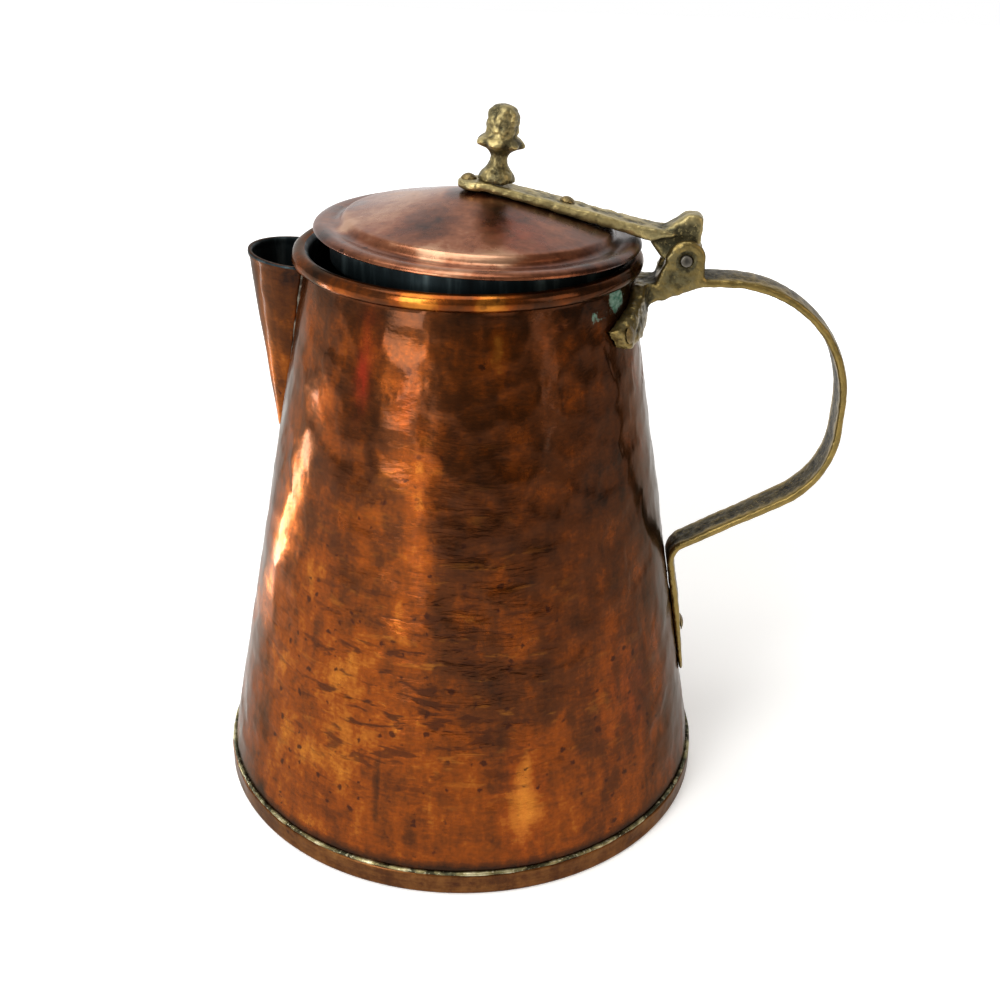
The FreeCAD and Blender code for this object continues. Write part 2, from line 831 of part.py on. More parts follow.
def make_lid_dome():
    """Shallow cone with a small flat crown, a rounded shoulder, a cove and a brim turned down at its edge."""
    body = new_body("lid_dome", LID_PLACE)
    brim_round = cell("brim_round")
    under = brim_height - lid_sheet
    lip_inside = lid_radius - cell("lip_depth")
    turned(body, "dome", [
        (0, lid_rise - lid_sheet),
        (crown_radius, lid_rise - lid_sheet),
        (dome_edge, dome_foot - lid_sheet, ("right", shoulder_radius - lid_sheet)),
        (step_radius - lid_sheet, brim_height + cove, ("left", cove + lid_sheet)),
        (step_radius + cove, under),
        (lip_inside, under),
        (lip_inside, 0),
        (lid_radius, 0),
        (lid_radius, brim_height - brim_round, ("left", brim_round)),
        (lid_radius - brim_round, brim_height),
        (step_radius + cove, brim_height, ("right", cove)),
        (step_radius, brim_height + cove, ("left", shoulder_radius)),
        (dome_edge, dome_foot),
        (crown_radius, lid_rise),
        (0, lid_rise),
    ])
    lid_bores(body)
    return body


def make_lid_collar():
    """Tinned ring under the brim that drops into the mouth of the pot."""
    body = new_body("lid_collar", LID_PLACE)
    outside = neck_radius - wall_sheet - cell("collar_gap")
    inside = outside - cell("collar_sheet")
    top = brim_height - lid_sheet - seam_gap
    bottom = -cell("collar_drop")
    turned(body, "collar", [(inside, bottom), (outside, bottom), (outside, top), (inside, top)])
    return body


def make_lid_strap():
    """One brass casting: a strap along the dome, a knuckle between the ears and a thumbpiece above."""
    body = new_body("lid_strap", LID_PLACE)
    tip = -cell("lid_strap_tip")
    knuckle = cell("knuckle_radius")
    clear = ear_radius + cell("ear_gap")
    thumb_top = lid_pin_height + cell("thumb_rise")
    thumb_right = lid_pin_reach + knuckle
    thumb_left = thumb_right - cell("thumb_depth")
    thumb_round = cell("thumb_round")
    throat_level = strap_seat - (throat_place - crown_radius) * strap_fall
    neck_level = strap_seat - (neck_place - crown_radius) * strap_fall + cell("throat_depth")
    root_across = lid_pin_reach - ear_radius - lid_strap_depth
    root_level = lid_pin_height + clear + cell("thumb_root")
    strap_end = lid_pin_reach - knuckle
    side = new_sketch(body, "strap_outline", "XZ_Plane")
    outline(side, [
        (tip, strap_seat),
        (crown_radius, strap_seat),
        (throat_place, throat_level),
        (strap_end, lid_pin_height + clear),
        (strap_end, root_level),
        (neck_place, neck_level),
        (crown_radius, strap_seat + lid_strap_depth),
        (tip, strap_seat + lid_strap_depth),
    ])
    slab(body, "strap", side, lid_strap_width)

    thumb = new_sketch(body, "thumb_outline", "XZ_Plane")
    outline(thumb, [
        (root_across, lid_pin_height + clear),
        (thumb_right, lid_pin_height + clear),
        (thumb_right, thumb_top - thumb_round, ("left", thumb_round)),
        (thumb_right - thumb_round, thumb_top),
        (thumb_left, thumb_top, ("right", cell("thumb_hollow"))),
        (root_across, root_level),
    ])
    slab(body, "thumbpiece", thumb, cell("thumb_width"))

    joint = new_sketch(body, "knuckle_outline", "XZ_Plane")
    outline(joint, [
        (throat_place, throat_level),
        (lid_pin_reach - cell("heel_reach"), lid_pin_height - cell("heel_drop")),
        (lid_pin_reach, lid_pin_height - knuckle, ("left", knuckle)),
        (thumb_right, lid_pin_height),
        (thumb_right, root_level),
        (strap_end, root_level),
    ])
    slab(body, "knuckle", joint, slot_width - 2 * cell("knuckle_gap"))

    half_width = lid_strap_width / 2
    nose = new_sketch(body, "strap_nose", "XY_Plane")
    outline(nose, [
        (tip - half_width, -lid_strap_width),
        (tip + half_width, -lid_strap_width),
        (tip + half_width, -half_width, ("right", half_width)),
        (tip, 0, ("right", half_width)),
        (tip + half_width, half_width),
        (tip + half_width, lid_strap_width),
        (tip - half_width, lid_strap_width),
    ])
    slab(body, "nose_round", nose, 4 * lid_rise, "Pocket")
    bored(body, "knuckle_bore", vector(lid_pin_reach, 0, lid_pin_height), turn_about("1; 0; 0", 90), pin_bore,
          clevis_width)
    lid_bores(body)
    return body


def make_finial():
    """Cast bud on a flared stem, with a tenon that goes down through the strap and the dome."""
    body = new_body("finial", FINIAL_PLACE)
    foot = cell("finial_foot_radius")
    flare = ("right", cell("finial_flare"))
    petal = cell("finial_petal_radius")
    petal_level = cell("finial_petal_height")
    lip = cell("finial_petal_lip")
    tall = cell("finial_height")
    tenon = cell("tenon_radius")
    peen = cell("peen_radius")
    tenon_end = rove_level - finial_level - peen * dome_fall - seat_gap
    turned(body, "bud", [
        (0, tenon_end - cell("peen_height")),
        (peen, tenon_end - cell("peen_height")),
        (peen, tenon_end),
        (tenon, tenon_end),
        (tenon, 0),
        (foot, 0),
        (foot, cell("finial_foot_edge"), flare),
        (cell("finial_waist_radius"), cell("finial_waist_height"), flare),
        (petal - lip, petal_level - lip),
        (petal, petal_level),
        (cell("finial_bud_radius"), cell("finial_bud_height"), ("left", cell("finial_bud_curve"))),
        (cell("finial_tip_radius"), tall),
        (0, tall),
    ])
    return body


def make_finial_rove():
    """Copper washer, lying against the slope of the dome inside, on which the finial's tenon is peened."""
    below = placement(vector(0, 0, rove_level - finial_level), rove_turn)
    body = new_body("finial_rove", f"{FINIAL_PLACE} * {below}")
    depth = cell("rove_depth")
    outside = cell("rove_radius")
    turned(body, "washer", [(0, 0), (outside, 0), (outside, depth), (0, depth)])
    bored(body, "washer_hole", vector(0, 0, 0), tenon_turn, tenon_bore, cell("bore_length"))
    return body


def make_lid_rivets():
    """Copper rivets that hold the strap to the dome, one in its round end and one on its slope."""
    head = cell("lid_rivet_head_radius")
    rise = cell("lid_rivet_head_height")
    front_drop = strap_seat - dome_level(head - front_place)
    rear_drop = rear_level - dome_level(rear_place)
    rear_depth = lid_strap_depth + (rear_place + head - crown_radius) * strap_swell
    rivets = []
    for name, place, level, lean, drop, depth in (
        ("strap_rivet_front", front_place, strap_seat, as_size(0), front_drop, lid_strap_depth),
        ("strap_rivet_rear", rear_place, rear_level, arctangent(strap_fall), rear_drop, rear_depth),
    ):
        body = new_body(name, on_lid(vector(place, 0, level), turn_about("0; 1; 0", lean)))
        turned(body, f"{name}_solid", rivet_profile(cell("lid_rivet_radius"), head, rise,
                                                    -lid_sheet - drop - seat_gap, depth + seam_gap))
        rivets.append(body)
    return rivets


SUB_PARTS = [
    make_base_pan(),
    make_base_braze(),
    make_body_wall(),
    make_rim_wire(),
    make_spout_beak(),
    make_spout_braze(),
    make_handle(),
    make_hinge_pin(),
    *make_handle_rivets(),
    make_lid_dome(),
    make_lid_collar(),
    make_lid_strap(),
    make_finial(),
    make_finial_rove(),
    *make_lid_rivets(),
]

doc.recompute()
failed = [thing.Name for thing in doc.Objects if {"Invalid", "Error"} & set(thing.State)]
failed += [part.Label for part in SUB_PARTS if part.Shape.isNull() or not part.Shape.isValid()]
if failed:
    raise RuntimeError("not built: " + ", ".join(failed))

os.makedirs("parts", exist_ok=True)
for part in SUB_PARTS:
    part.Shape.exportStep(os.path.join("parts", part.Label + ".step"))
    print(part.Label, len(part.Shape.Solids), "solid,", round(part.Shape.Volume, 1), "cubic mm")
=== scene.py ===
# %% [markdown]
# A coffee pot of hammered copper with cast brass fittings
#
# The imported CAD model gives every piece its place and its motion. This lesson dresses it: sheet copper
# becomes numpy surfaces with hammer marks, and castings become remeshed copies with a sandy skin. Objects
# are in metres in the CAD frame: its origin is the centre of the base, +Z is up and +X is the handle's
# side. Shapes are worked out in millimetres.

# %% Load the frame
from functools import partial

import bmesh
import bpy
import numpy as np
from mathutils import Matrix, Vector


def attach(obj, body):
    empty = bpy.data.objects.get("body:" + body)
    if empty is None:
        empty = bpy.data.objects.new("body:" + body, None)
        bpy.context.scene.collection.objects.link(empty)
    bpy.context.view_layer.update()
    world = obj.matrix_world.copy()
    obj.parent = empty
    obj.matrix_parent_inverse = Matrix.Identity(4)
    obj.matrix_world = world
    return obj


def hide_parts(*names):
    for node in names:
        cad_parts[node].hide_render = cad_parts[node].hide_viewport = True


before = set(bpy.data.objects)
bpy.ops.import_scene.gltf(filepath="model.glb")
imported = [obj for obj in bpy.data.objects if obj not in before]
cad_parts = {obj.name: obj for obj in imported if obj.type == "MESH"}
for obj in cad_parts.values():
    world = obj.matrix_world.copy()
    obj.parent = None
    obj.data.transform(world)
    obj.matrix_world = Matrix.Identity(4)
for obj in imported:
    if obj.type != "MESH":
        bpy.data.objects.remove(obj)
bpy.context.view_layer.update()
MM = 0.001

# %% [markdown]
# The camera stands where the photographer's did, a hand's breadth above the finial and turned a few degrees
# off the handle's plane. It could be aimed with a tracking constraint, but a matrix built from three axes
# states the same view in plain numbers.

# %% Camera
CAMERA_PLACE = Vector((30.279, -433.006, 330.914)) * MM
CAMERA_FORWARD = Vector((-0.03455, 0.89169, -0.45133))
CAMERA_RIGHT = Vector((0.99846, 0.05046, 0.02326))
SENSOR_MM = 36.0
LENS_MM = 45.0


def placed(name, data):
    """New object of some data, linked into the scene."""
    thing = bpy.data.objects.new(name, data)
    bpy.context.collection.objects.link(thing)
    return thing


camera = placed("camera", bpy.data.cameras.new("camera"))
camera.data.sensor_width = SENSOR_MM
camera.data.lens = LENS_MM
camera_up = CAMERA_RIGHT.cross(CAMERA_FORWARD)
axes = Matrix((CAMERA_RIGHT, camera_up, -CAMERA_FORWARD)).transposed()
camera.matrix_world = Matrix.Translation(CAMERA_PLACE) @ axes.to_4x4()
scene = bpy.context.scene
scene.camera = camera
print("camera height above the base:", round(CAMERA_PLACE.z, 3))

# %% [markdown]
# A few helpers serve every material. One turns a colour picked on a screen into linear light, one turns
# millimetres into a pattern's scale, and one adds a node, sets it and joins it. Each material gets the last
# one for its own tree, so it reads as a list of steps.

# %% Helpers for materials
# A colour mix has its share, the colour underneath and the colour on top in these sockets
SHARE, UNDER, OVER = 0, 6, 7
COLOUR_MIX = {"data_type": "RGBA", "out": 2}


def colour(hexadecimal):
    """Linear RGBA of an sRGB hex colour: the standard curve, applied to each of its three parts."""
    parts = np.array([int(hexadecimal[place:place + 2], 16) for place in (1, 3, 5)]) / 255
    linear = np.where(parts <= 0.04045, parts / 12.92, ((parts + 0.055) / 1.055) ** 2.4)
    return (*linear.tolist(), 1.0)


def per_mm(*sizes):
    """Scale of a pattern from the size of its blobs in mm along X, Y and Z: one over each size in metres."""
    return [1 / (size * MM) for size in sizes]


def add_node(tree, kind, inputs=(), out=0, stops=(), **settings):
    """One of the outputs of a new node. Its inputs are values, or outputs that are linked to it.

    They are a list from the first socket on, or go by a socket's number or name. Settings are the node's
    own properties, and stops are a colour ramp's positions and hex colours.
    """
    node = tree.nodes.new("ShaderNode" + kind)
    for name, value in settings.items():
        setattr(node, name, value)
    for place, (position, shade) in enumerate(stops):
        elements = node.color_ramp.elements
        element = elements[place] if place < len(elements) else elements.new(position)
        element.position = position
        element.color = colour(shade)
    for socket, value in inputs.items() if isinstance(inputs, dict) else enumerate(inputs):
        if isinstance(value, bpy.types.NodeSocket):
            tree.links.new(value, node.inputs[socket])
        else:
            node.inputs[socket].default_value = value
    return node.outputs[out] if node.outputs else node


def adder(owner):
    """Function that adds nodes to the tree of a material or a world, which is emptied first."""
    owner.use_nodes = True
    owner.node_tree.nodes.clear()
    return partial(add_node, owner.node_tree)


def new_finish(name):
    """New material, and the function that adds nodes to it."""
    material = bpy.data.materials.new(name)
    print("finish:", name)
    return material, adder(material)


print("helpers for materials are ready")

# %% [markdown]
# The pot stands on a white sweep. Copper shows what stands round it, so the floor and the backdrop that the
# camera sees are white to the camera, to mirrors and to glass. The paper is only as wide as the picture, so
# outside it mirrors see the dim room. The lamps are at a plain level, so a colour renders about as written.

# %% Floor
FLOOR_HALF = 3.0
FRONT_FADE = (-0.45, -0.14)
RIGHT_FADE = (0.25, 0.5)
RIGHT_SLANT = -0.45
OUTSIDE_SHARE = 0.25
SHADOW_REACH = (0.2, 0.8)
SHADOW_GLOW = 0.34
SOFT = {"interpolation_type": "SMOOTHSTEP"}


def seen_white(add, mirror_share):
    """Share of white that a ray sees: all for the camera and through glass, and a given share for mirrors."""
    rays = add("LightPath").node.outputs
    mirrored = add("Math", [rays["Is Glossy Ray"], mirror_share], operation="MULTIPLY")
    through = add("Math", [rays["Is Camera Ray"], rays["Is Transmission Ray"]], operation="MAXIMUM")
    return add("Math", [through, mirrored], operation="MAXIMUM")


floor_mesh = bpy.data.meshes.new("floor")
corners = [(x * FLOOR_HALF, y * FLOOR_HALF, 0.0) for x, y in ((-1, -1), (1, -1), (1, 1), (-1, 1))]
floor_mesh.from_pydata(corners, [], [(0, 1, 2, 3)])
floor = placed("floor", floor_mesh)

# Matt paper scatters nearly all the light that falls on it, and its own glow only lifts it to white.
paper, add = new_finish("white_paper")
spot = add("TexCoord", out="Object")
ways = add("SeparateXYZ", [spot]).node.outputs
front = add("MapRange", [ways["Y"], *FRONT_FADE, OUTSIDE_SHARE, 1.0], **SOFT)
right = add("Math", [ways["Y"], RIGHT_SLANT, ways["X"]], operation="MULTIPLY_ADD")
right = add("MapRange", [right, *RIGHT_FADE, 1.0, OUTSIDE_SHARE], **SOFT)
swept = add("Math", [front, right], operation="MULTIPLY")
reach = add("VectorMath", [spot], out="Value", operation="LENGTH")
lift = add("MapRange", [reach, *SHADOW_REACH, SHADOW_GLOW, 1.0], **SOFT)
glow = add("Math", [seen_white(add, swept), lift], operation="MULTIPLY")
sheet = add("BsdfPrincipled", {
    "Base Color": colour("#f4f4f2"), "Roughness": 0.9, "Emission Color": colour("#ffffff"),
    "Emission Strength": glow})
add("OutputMaterial", {"Surface": sheet})
floor_mesh.materials.append(paper)
print("floor:", 2 * FLOOR_HALF, "m wide")

# %% World
ROOM_SIDES = (-0.9, 0.7)
ROOM_LEVELS = (0.58, 0.14)
BACKDROP_EDGE = (0.3, 0.7)
scene.view_settings.view_transform = "Standard"
world = bpy.data.worlds.new("studio")
scene.world = world
add = adder(world)
direction = add("TexCoord", out="Generated")
sides = add("SeparateXYZ", [direction]).node.outputs
room = add("MapRange", [sides["X"], *ROOM_SIDES, *ROOM_LEVELS], **SOFT)
behind = add("MapRange", [sides["Y"], *BACKDROP_EDGE, 0.0, 1.0], **SOFT)
strength = add("Math", [room, seen_white(add, behind)], operation="MAXIMUM")
sky = add("Background", {"Color": colour("#ffffff"), "Strength": strength})
add("OutputWorld", {"Surface": sky})
print("world:", world.name)

# %% [markdown]
# Three soft lamps light the pot: a window at the left, the ceiling, and a weak warm room at the right. Three
# narrow strips stand low outside the picture. They add almost no light, but the hammered wall mirrors them
# as broken bright streaks: down its front, along its left edge, and faintly below the rim at the right.

# %% Lamps
WARM = "#fff2e0"


def lamp(name, place, aim, size, power, shade="#ffffff", roll=0.0):
    """A soft rectangular lamp, aimed at a point and rolled by degrees, in metres and watts."""
    data = bpy.data.lights.new(name, "AREA")
    data.shape = "RECTANGLE"
    data.size, data.size_y = size
    data.energy = power
    data.color = colour(shade)[:3]
    thing = placed(name, data)
    turn = (Vector(aim) - Vector(place)).to_track_quat("-Z", "Y")
    rolled = Matrix.Rotation(np.radians(roll), 4, "Z")
    thing.matrix_world = Matrix.Translation(place) @ turn.to_matrix().to_4x4() @ rolled


lamp("window_left", (-0.55, -0.85, 0.55), aim=(0, 0, 0.12), size=(0.35, 0.9), power=8.0)
lamp("ceiling", (-0.2, -0.1, 1.3), aim=(0, 0, 0.1), size=(0.9, 0.9), power=8.0)
lamp("room_right", (0.9, -0.5, 0.6), aim=(0, 0, 0.1), size=(0.5, 0.7), power=2.5, shade="#ffe9d0")
lamp("strip_front", (-0.215, -0.575, 0.09), aim=(0, -0.07, 0.14), size=(0.05, 0.17), power=0.08, shade=WARM)
lamp("strip_left", (-0.29, 0.065, 0.05), aim=(-0.06, -0.04, 0.13), size=(0.02, 0.15), power=0.3, roll=-45)
lamp("strip_right", (0.53, -0.385, 0.17), aim=(0.03, -0.05, 0.19), size=(0.05, 0.1), power=0.05, shade=WARM)
print("lamps:", [light.name for light in bpy.data.lights])

# %% [markdown]
# Old copper is brown rather than orange: oxide has darkened it, rubbing has brightened the high spots, and
# heat has reddened some patches. The metal still mirrors the room through that skin. Its tones come from
# noise that is stretched upwards, as liquid and cleaning cloths run. Each piece carries marks that say where
# it is darker or brighter (shade), creased, specked with oxide, burnt red (redness) or green (verdigris).
# The shade and redness marks also hold painted light: painted highlights, reflections and shadow.

# %% Aged copper
# Each pattern has the size of its blobs in mm along X, Y and Z, then its detail, roughness and distortion
COPPER_PATTERNS = {
    "clouds": ((15, 15, 18), 7.0, 0.66, 0.0),
    "smears": ((4.5, 4.5, 16), 5.0, 0.65, 0.0),
    "rough": ((2.2, 2.2, 1.2), 3.0, 0.5, 0.0),
    "rows": ((15, 15, 4.2), 3.0, 0.6, 0.4),
    "flakes": ((4, 4, 4), 5.0, 0.72, 0.0),
}
TONE_STOPS = (0.15, 0.42, 0.62, 0.92)
SPECK_PITCH = 4
SPECK_WOBBLE = (0.005, 0.005, 0.004)
SPECK_GROUP = 30


def layered(add, tone, layers):
    """Colour with layers over it, each by a share: a pattern mapped from span to span, times a mark."""
    for pattern, span, mark, shade in layers:
        cover = add("MapRange", [pattern, *span])
        cover = add("Math", [cover, mark], operation="MULTIPLY")
        tone = add("Mix", {SHARE: cover, UNDER: tone, OVER: colour(shade)}, **COLOUR_MIX)
    return tone


def aged_copper(name, tones, red, edge, smooth=0.16, streak_mm=(13, 13, 80)):
    """Hammered sheet copper with a brown oxide skin: mirror-like metal, uneven in colour and gloss.

    Oxide also takes light from a glancing reflection, and edge is the colour that is left there.
    """
    material, add = new_finish(name)
    spot = add("TexCoord", out="Object")
    marks = {mark: add("Attribute", out="Fac", attribute_name=mark)
             for mark in ("shade", "crease", "specks", "redness", "verdigris")}
    noise = {}
    for pattern, (size_mm, detail, roughness, distortion) in {
            **COPPER_PATTERNS, "streaks": (streak_mm, 2.0, 0.5, 0.0)}.items():
        place = add("Mapping", {0: spot, "Scale": per_mm(*size_mm)})
        noise[pattern] = add("TexNoise", {
            0: place, "Scale": 1.0, "Detail": detail, "Roughness": roughness, "Distortion": distortion})
    level = noise["clouds"]
    for pattern, weight in (("streaks", 0.4), ("smears", 0.45), ("rough", 0.3)):
        level = add("Math", [noise[pattern], weight, level], operation="MULTIPLY_ADD")
    level = add("Math", [level, marks["shade"]], operation="SUBTRACT")
    level = add("MapRange", [level, 0.47, 1.67, 0.0, 1.0])
    tone = add("ValToRGB", [level], stops=zip(TONE_STOPS, tones))
    # Heat has burnt some smears red, and the redness mark also paints one red reflection. Creases between
    # rows of hammer blows, about 15 mm long and 4 mm high, are painted darker as shade, and a painted
    # highlight runs along their lips
    tone = layered(add, tone, [
        (noise["smears"], (0.35, 0.62, 0.1, 1.2), marks["redness"], red),
        (noise["rows"], (0.555, 0.625, 0.0, 0.85), marks["crease"], "#3b1d0d"),
        (noise["rows"], (0.4, 0.3, 0.0, 0.3), marks["crease"], tones[3])])
    # Dark round specks of oxide, 1 to 3 mm across and about 4 mm apart, that keep together in patches
    wobble = add("VectorMath", [noise["flakes"].node.outputs["Color"], SPECK_WOBBLE, spot],
                 operation="MULTIPLY_ADD")
    dots = add("TexVoronoi", {0: wobble, "Scale": 1 / (SPECK_PITCH * MM)}).node.outputs
    kind = add("SeparateXYZ", [dots["Color"]], out="X")
    reach = add("Math", [kind, 2.4], operation="POWER")
    reach = add("Math", [reach, 0.34], operation="MULTIPLY")
    specks = add("Math", [reach, dots["Distance"]], operation="SUBTRACT")
    place = add("Mapping", {0: spot, "Scale": per_mm(*[SPECK_GROUP] * 3), "Location": (3, 1, 7)})
    where = add("TexNoise", {0: place, "Scale": 1.0, "Detail": 2.0})
    where = add("Math", [marks["crease"], 0.3, where], operation="MULTIPLY_ADD")
    where = add("Math", [where, marks["specks"]], operation="ADD")
    where = add("MapRange", [where, 0.54, 0.68, 0.0, 1.0])
    tone = layered(add, tone, [(specks, (-0.05, 0.08, 0.0, 0.85), where, "#33180c")])
    # Verdigris grows in the same flakes, about 4 mm across
    crust = add("Math", [noise["flakes"], 1.3, marks["verdigris"]], operation="MULTIPLY_ADD")
    crust = add("MapRange", [crust, 1.05, 1.2, 0.0, 0.9])
    bloom = add("ValToRGB", [noise["rough"]], stops=[(0.35, "#4c8572"), (0.65, "#9fc0b2")])
    tone = add("Mix", {SHARE: crust, UNDER: tone, OVER: bloom}, **COLOUR_MIX)
    gloss = add("MapRange", [noise["clouds"], 0.3, 0.7, smooth, smooth + 0.14])
    gloss = add("Math", [crust, 0.5, gloss], operation="MULTIPLY_ADD")
    normal = add("Bump", {"Height": noise["rough"], "Distance": 0.05 * MM, "Strength": 0.8})
    fold = add("Math", [noise["rows"], marks["crease"]], operation="MULTIPLY")
    normal = add("Bump", {"Height": fold, "Distance": 0.5 * MM, "Normal": normal}, invert=True)
    # A film of old wax and grease lies over the oxide, and gives small white gleams
    skin = add("BsdfPrincipled", {
        "Base Color": tone, "Roughness": gloss, "Metallic": 0.9, "Specular Tint": colour(edge),
        "Coat Weight": 0.08, "Coat Roughness": 0.12, "Normal": normal, "Coat Normal": normal})
    add("OutputMaterial", {"Surface": skin})
    return material


wall_copper = aged_copper(
    "aged_copper_hammered", ("#2b190d", "#532a0f", "#803d0e", "#bd7526"), red="#b8341f", edge="#c0bcb6")
lid_copper = aged_copper(
    "aged_copper_lid", ("#341c12", "#693b25", "#8e573a", "#be9070"), red="#8a3a24", edge="#ffffff",
    smooth=0.22, streak_mm=(20, 20, 20))
spout_copper = aged_copper(
    "aged_copper_spout", ("#22120a", "#50290c", "#804210", "#b0702c"), red="#8a2c16", edge="#c4c0ba",
    smooth=0.34, streak_mm=(14, 14, 22))
band_copper = aged_copper(
    "aged_copper_base", ("#22130a", "#4d2b12", "#6e4520", "#96703f"), red="#6a3417", edge="#c0bcb6",
    smooth=0.24, streak_mm=(26, 26, 3))

# %% [markdown]
# The inside of a copper pot is wiped with molten tin, which greys and streaks with use. The castings are
# yellow brass that has dulled to olive: high edges are rubbed golden, and pits keep green and black dirt. A
# mark called relief, measured from each casting's own shape, tells the material which is which. On the
# handle and the strap it also carries painted shade, by rings and by the way a face turns.

# %% Tin
# Wiped tin is a soft grey metal: dull, with dark runs from the rim down.
tin, add = new_finish("worn_tinning")
spot = add("TexCoord", out="Object")
place = add("Mapping", {0: spot, "Scale": per_mm(6, 6, 40)})
runs = add("TexNoise", {0: place, "Scale": 1.0, "Detail": 4.0})
tone = add("ValToRGB", [runs], stops=[(0.32, "#0b1113"), (0.52, "#1e292c"), (0.74, "#566567")])
dull = add("MapRange", [runs, 0.3, 0.7, 0.55, 0.36])
skin = add("BsdfPrincipled", {"Base Color": tone, "Roughness": dull, "Metallic": 0.85})
add("OutputMaterial", {"Surface": skin})

# %% Cast and peened metals
# Each pattern has the size of its blobs in mm, then its detail and roughness
CAST_PATTERNS = {"sand": (1.7, 4.0, 0.6), "grains": (1.0, 2.0, 0.5), "patches": (8, 4.0, 0.65)}


def cast_metal(name, hollow, flat, ridge, crust, dullness):
    """Sand-cast or peened metal: dirt in the hollows, patina on the flats and rubbed metal on the ridges."""
    material, add = new_finish(name)
    spot = add("TexCoord", out="Object")
    relief, crumbly = (add("Attribute", out="Fac", attribute_name=mark) for mark in ("relief", "crumbs"))
    noise = {}
    for pattern, (size_mm, detail, roughness) in CAST_PATTERNS.items():
        place = add("Mapping", {0: spot, "Scale": per_mm(size_mm, size_mm, size_mm)})
        noise[pattern] = add("TexNoise", {0: place, "Scale": 1.0, "Detail": detail, "Roughness": roughness})
    worn = add("Math", [noise["sand"], 0.4, relief], operation="MULTIPLY_ADD")
    worn = add("MapRange", [worn, 0.3, 1.1, 0.0, 1.0])
    tone = add("ValToRGB", [worn], stops=[(0.22, hollow), (0.48, flat), (0.82, ridge)])
    # Single grains of the sandy skin, about 1 mm across, are rubbed bright, and wider patches are crusted.
    # Where the casting is marked, it has pale grey-green crumbs of corrosion, 1 to 2 mm across
    tone = layered(add, tone, [
        (noise["grains"], (0.57, 0.68, 0.0, 0.6), 1.0, ridge),
        (noise["patches"], (0.46, 0.72, 0.0, 0.55), 1.0, crust),
        (noise["sand"], (0.42, 0.6, 0.25, 0.85), crumbly, "#625c42")])
    gloss = add("MapRange", [worn, 0.1, 0.9, dullness + 0.2, dullness - 0.08])
    normal = add("Bump", {"Height": noise["sand"], "Distance": 0.35 * MM, "Strength": 0.85})
    skin = add("BsdfPrincipled", {"Base Color": tone, "Roughness": gloss, "Metallic": 0.85, "Normal": normal})
    add("OutputMaterial", {"Surface": skin})
    return material


# Colours of the hollows, flats, ridges and crust, and how dull the metal is
handle_brass = cast_metal("cast_brass_handled", "#1c170c", "#443a20", "#897440", "#3d3a23", 0.4)
cast_brass = cast_metal("cast_brass_patinated", "#2b2616", "#5d553a", "#b3a16c", "#4d5140", 0.42)
iron = cast_metal("dull_iron", "#171513", "#3f3c37", "#726d64", "#35322c", 0.55)
rivet_copper = cast_metal("peened_copper", "#1d170d", "#50432c", "#8f7a4e", "#434332", 0.45)
braze = cast_metal("brass_braze", "#2f2a16", "#8d8258", "#e2dab4", "#5c604a", 0.34)
solder = cast_metal("tin_solder", "#1c1510", "#3b3027", "#8d8576", "#3a362b", 0.55)

# %% [markdown]
# A hand-made surface is never even. Value noise gives slow swells and fine grain: random numbers sit on a
# lattice, and a smooth blend fills the space between. Each hammer blow leaves one shallow dish instead, so
# those come from random centres, and the nearest one decides the depth.

# %% Noise and hammer marks
LATTICE = 32


def swell(points, size, seed):
    """Value noise from -1 to 1: a smooth step each way blends the eight lattice corners round a point."""
    table = np.random.default_rng(seed).uniform(-1, 1, (LATTICE, LATTICE, LATTICE))
    scaled = np.asarray(points) / size
    low = np.floor(scaled).astype(int)
    part = scaled - low
    part = part * part * (3 - 2 * part)
    total = 0.0
    for corner in np.ndindex(2, 2, 2):
        index = (low + corner) % LATTICE
        weight = np.prod(np.where(np.array(corner) == 1, part, 1 - part), axis=-1)
        total = total + weight * table[index[..., 0], index[..., 1], index[..., 2]]
    return total


def lumps(points, *layers):
    """Sum of swells, where each layer has its strength, its size in mm and its seed."""
    return sum(strength * swell(points, size, seed) for strength, size, seed in layers)


def grain(points, size, seed, layers=3):
    """Several layers of noise, each half as large and half as strong as the one before."""
    return sum(swell(points, size / 2 ** layer, seed + layer) / 2 ** layer for layer in range(layers))


def hammer_marks(across, up, turns, seed):
    """Depth of the nearest dish from 0 to 1, with one random centre in each cell of a grid.

    The grid wraps round after a number of columns, and the depth falls with the square of the distance.
    """
    across, up = np.broadcast_arrays(across, up)
    random = np.random.default_rng(seed)
    rows = int(np.ceil(up.max())) + 3
    offset = random.uniform(0.1, 0.9, (rows, turns, 2))
    force = random.uniform(0.3, 1.0, (rows, turns))
    nearest = np.full(up.shape, np.inf)
    depth = np.zeros_like(nearest)
    for step_row, step_column in np.ndindex(3, 3):
        row = np.floor(up).astype(int) + step_row - 1
        column = np.floor(across).astype(int) + step_column - 1
        index = (row % rows, column % turns)
        gap = np.hypot(column + offset[index][..., 0] - across, row + offset[index][..., 1] - up)
        closer = gap < nearest
        nearest = np.where(closer, gap, nearest)
        depth = np.where(closer, force[index], depth)
    return depth * np.clip(1 - nearest ** 2, 0, 1)


def ramp(value, start, length):
    """0 up to a start, then rising evenly to 1 over a length."""
    return np.clip((value - start) / length, 0, 1)


print("one noise lattice has", LATTICE ** 3, "numbers")

# %% [markdown]
# Every sheet of the pot is a grid: rows run along a profile and columns run round the axis. The grid could
# be a lathe with the Screw modifier, but points worked out directly can carry dents and still close on
# themselves.

# %% Meshes and their marks


def face_outwards(mesh):
    """Turns all faces of a closed mesh outwards."""
    work = bmesh.new()
    work.from_mesh(mesh)
    bmesh.ops.recalc_face_normals(work, faces=work.faces)
    work.to_mesh(mesh)
    work.free()


def set_mark(mesh, mark, values):
    """Keeps one number for each point of a mesh, for materials to read."""
    mesh.attributes.new(mark, "FLOAT", "POINT").data.foreach_set("value", values.astype(np.float32))


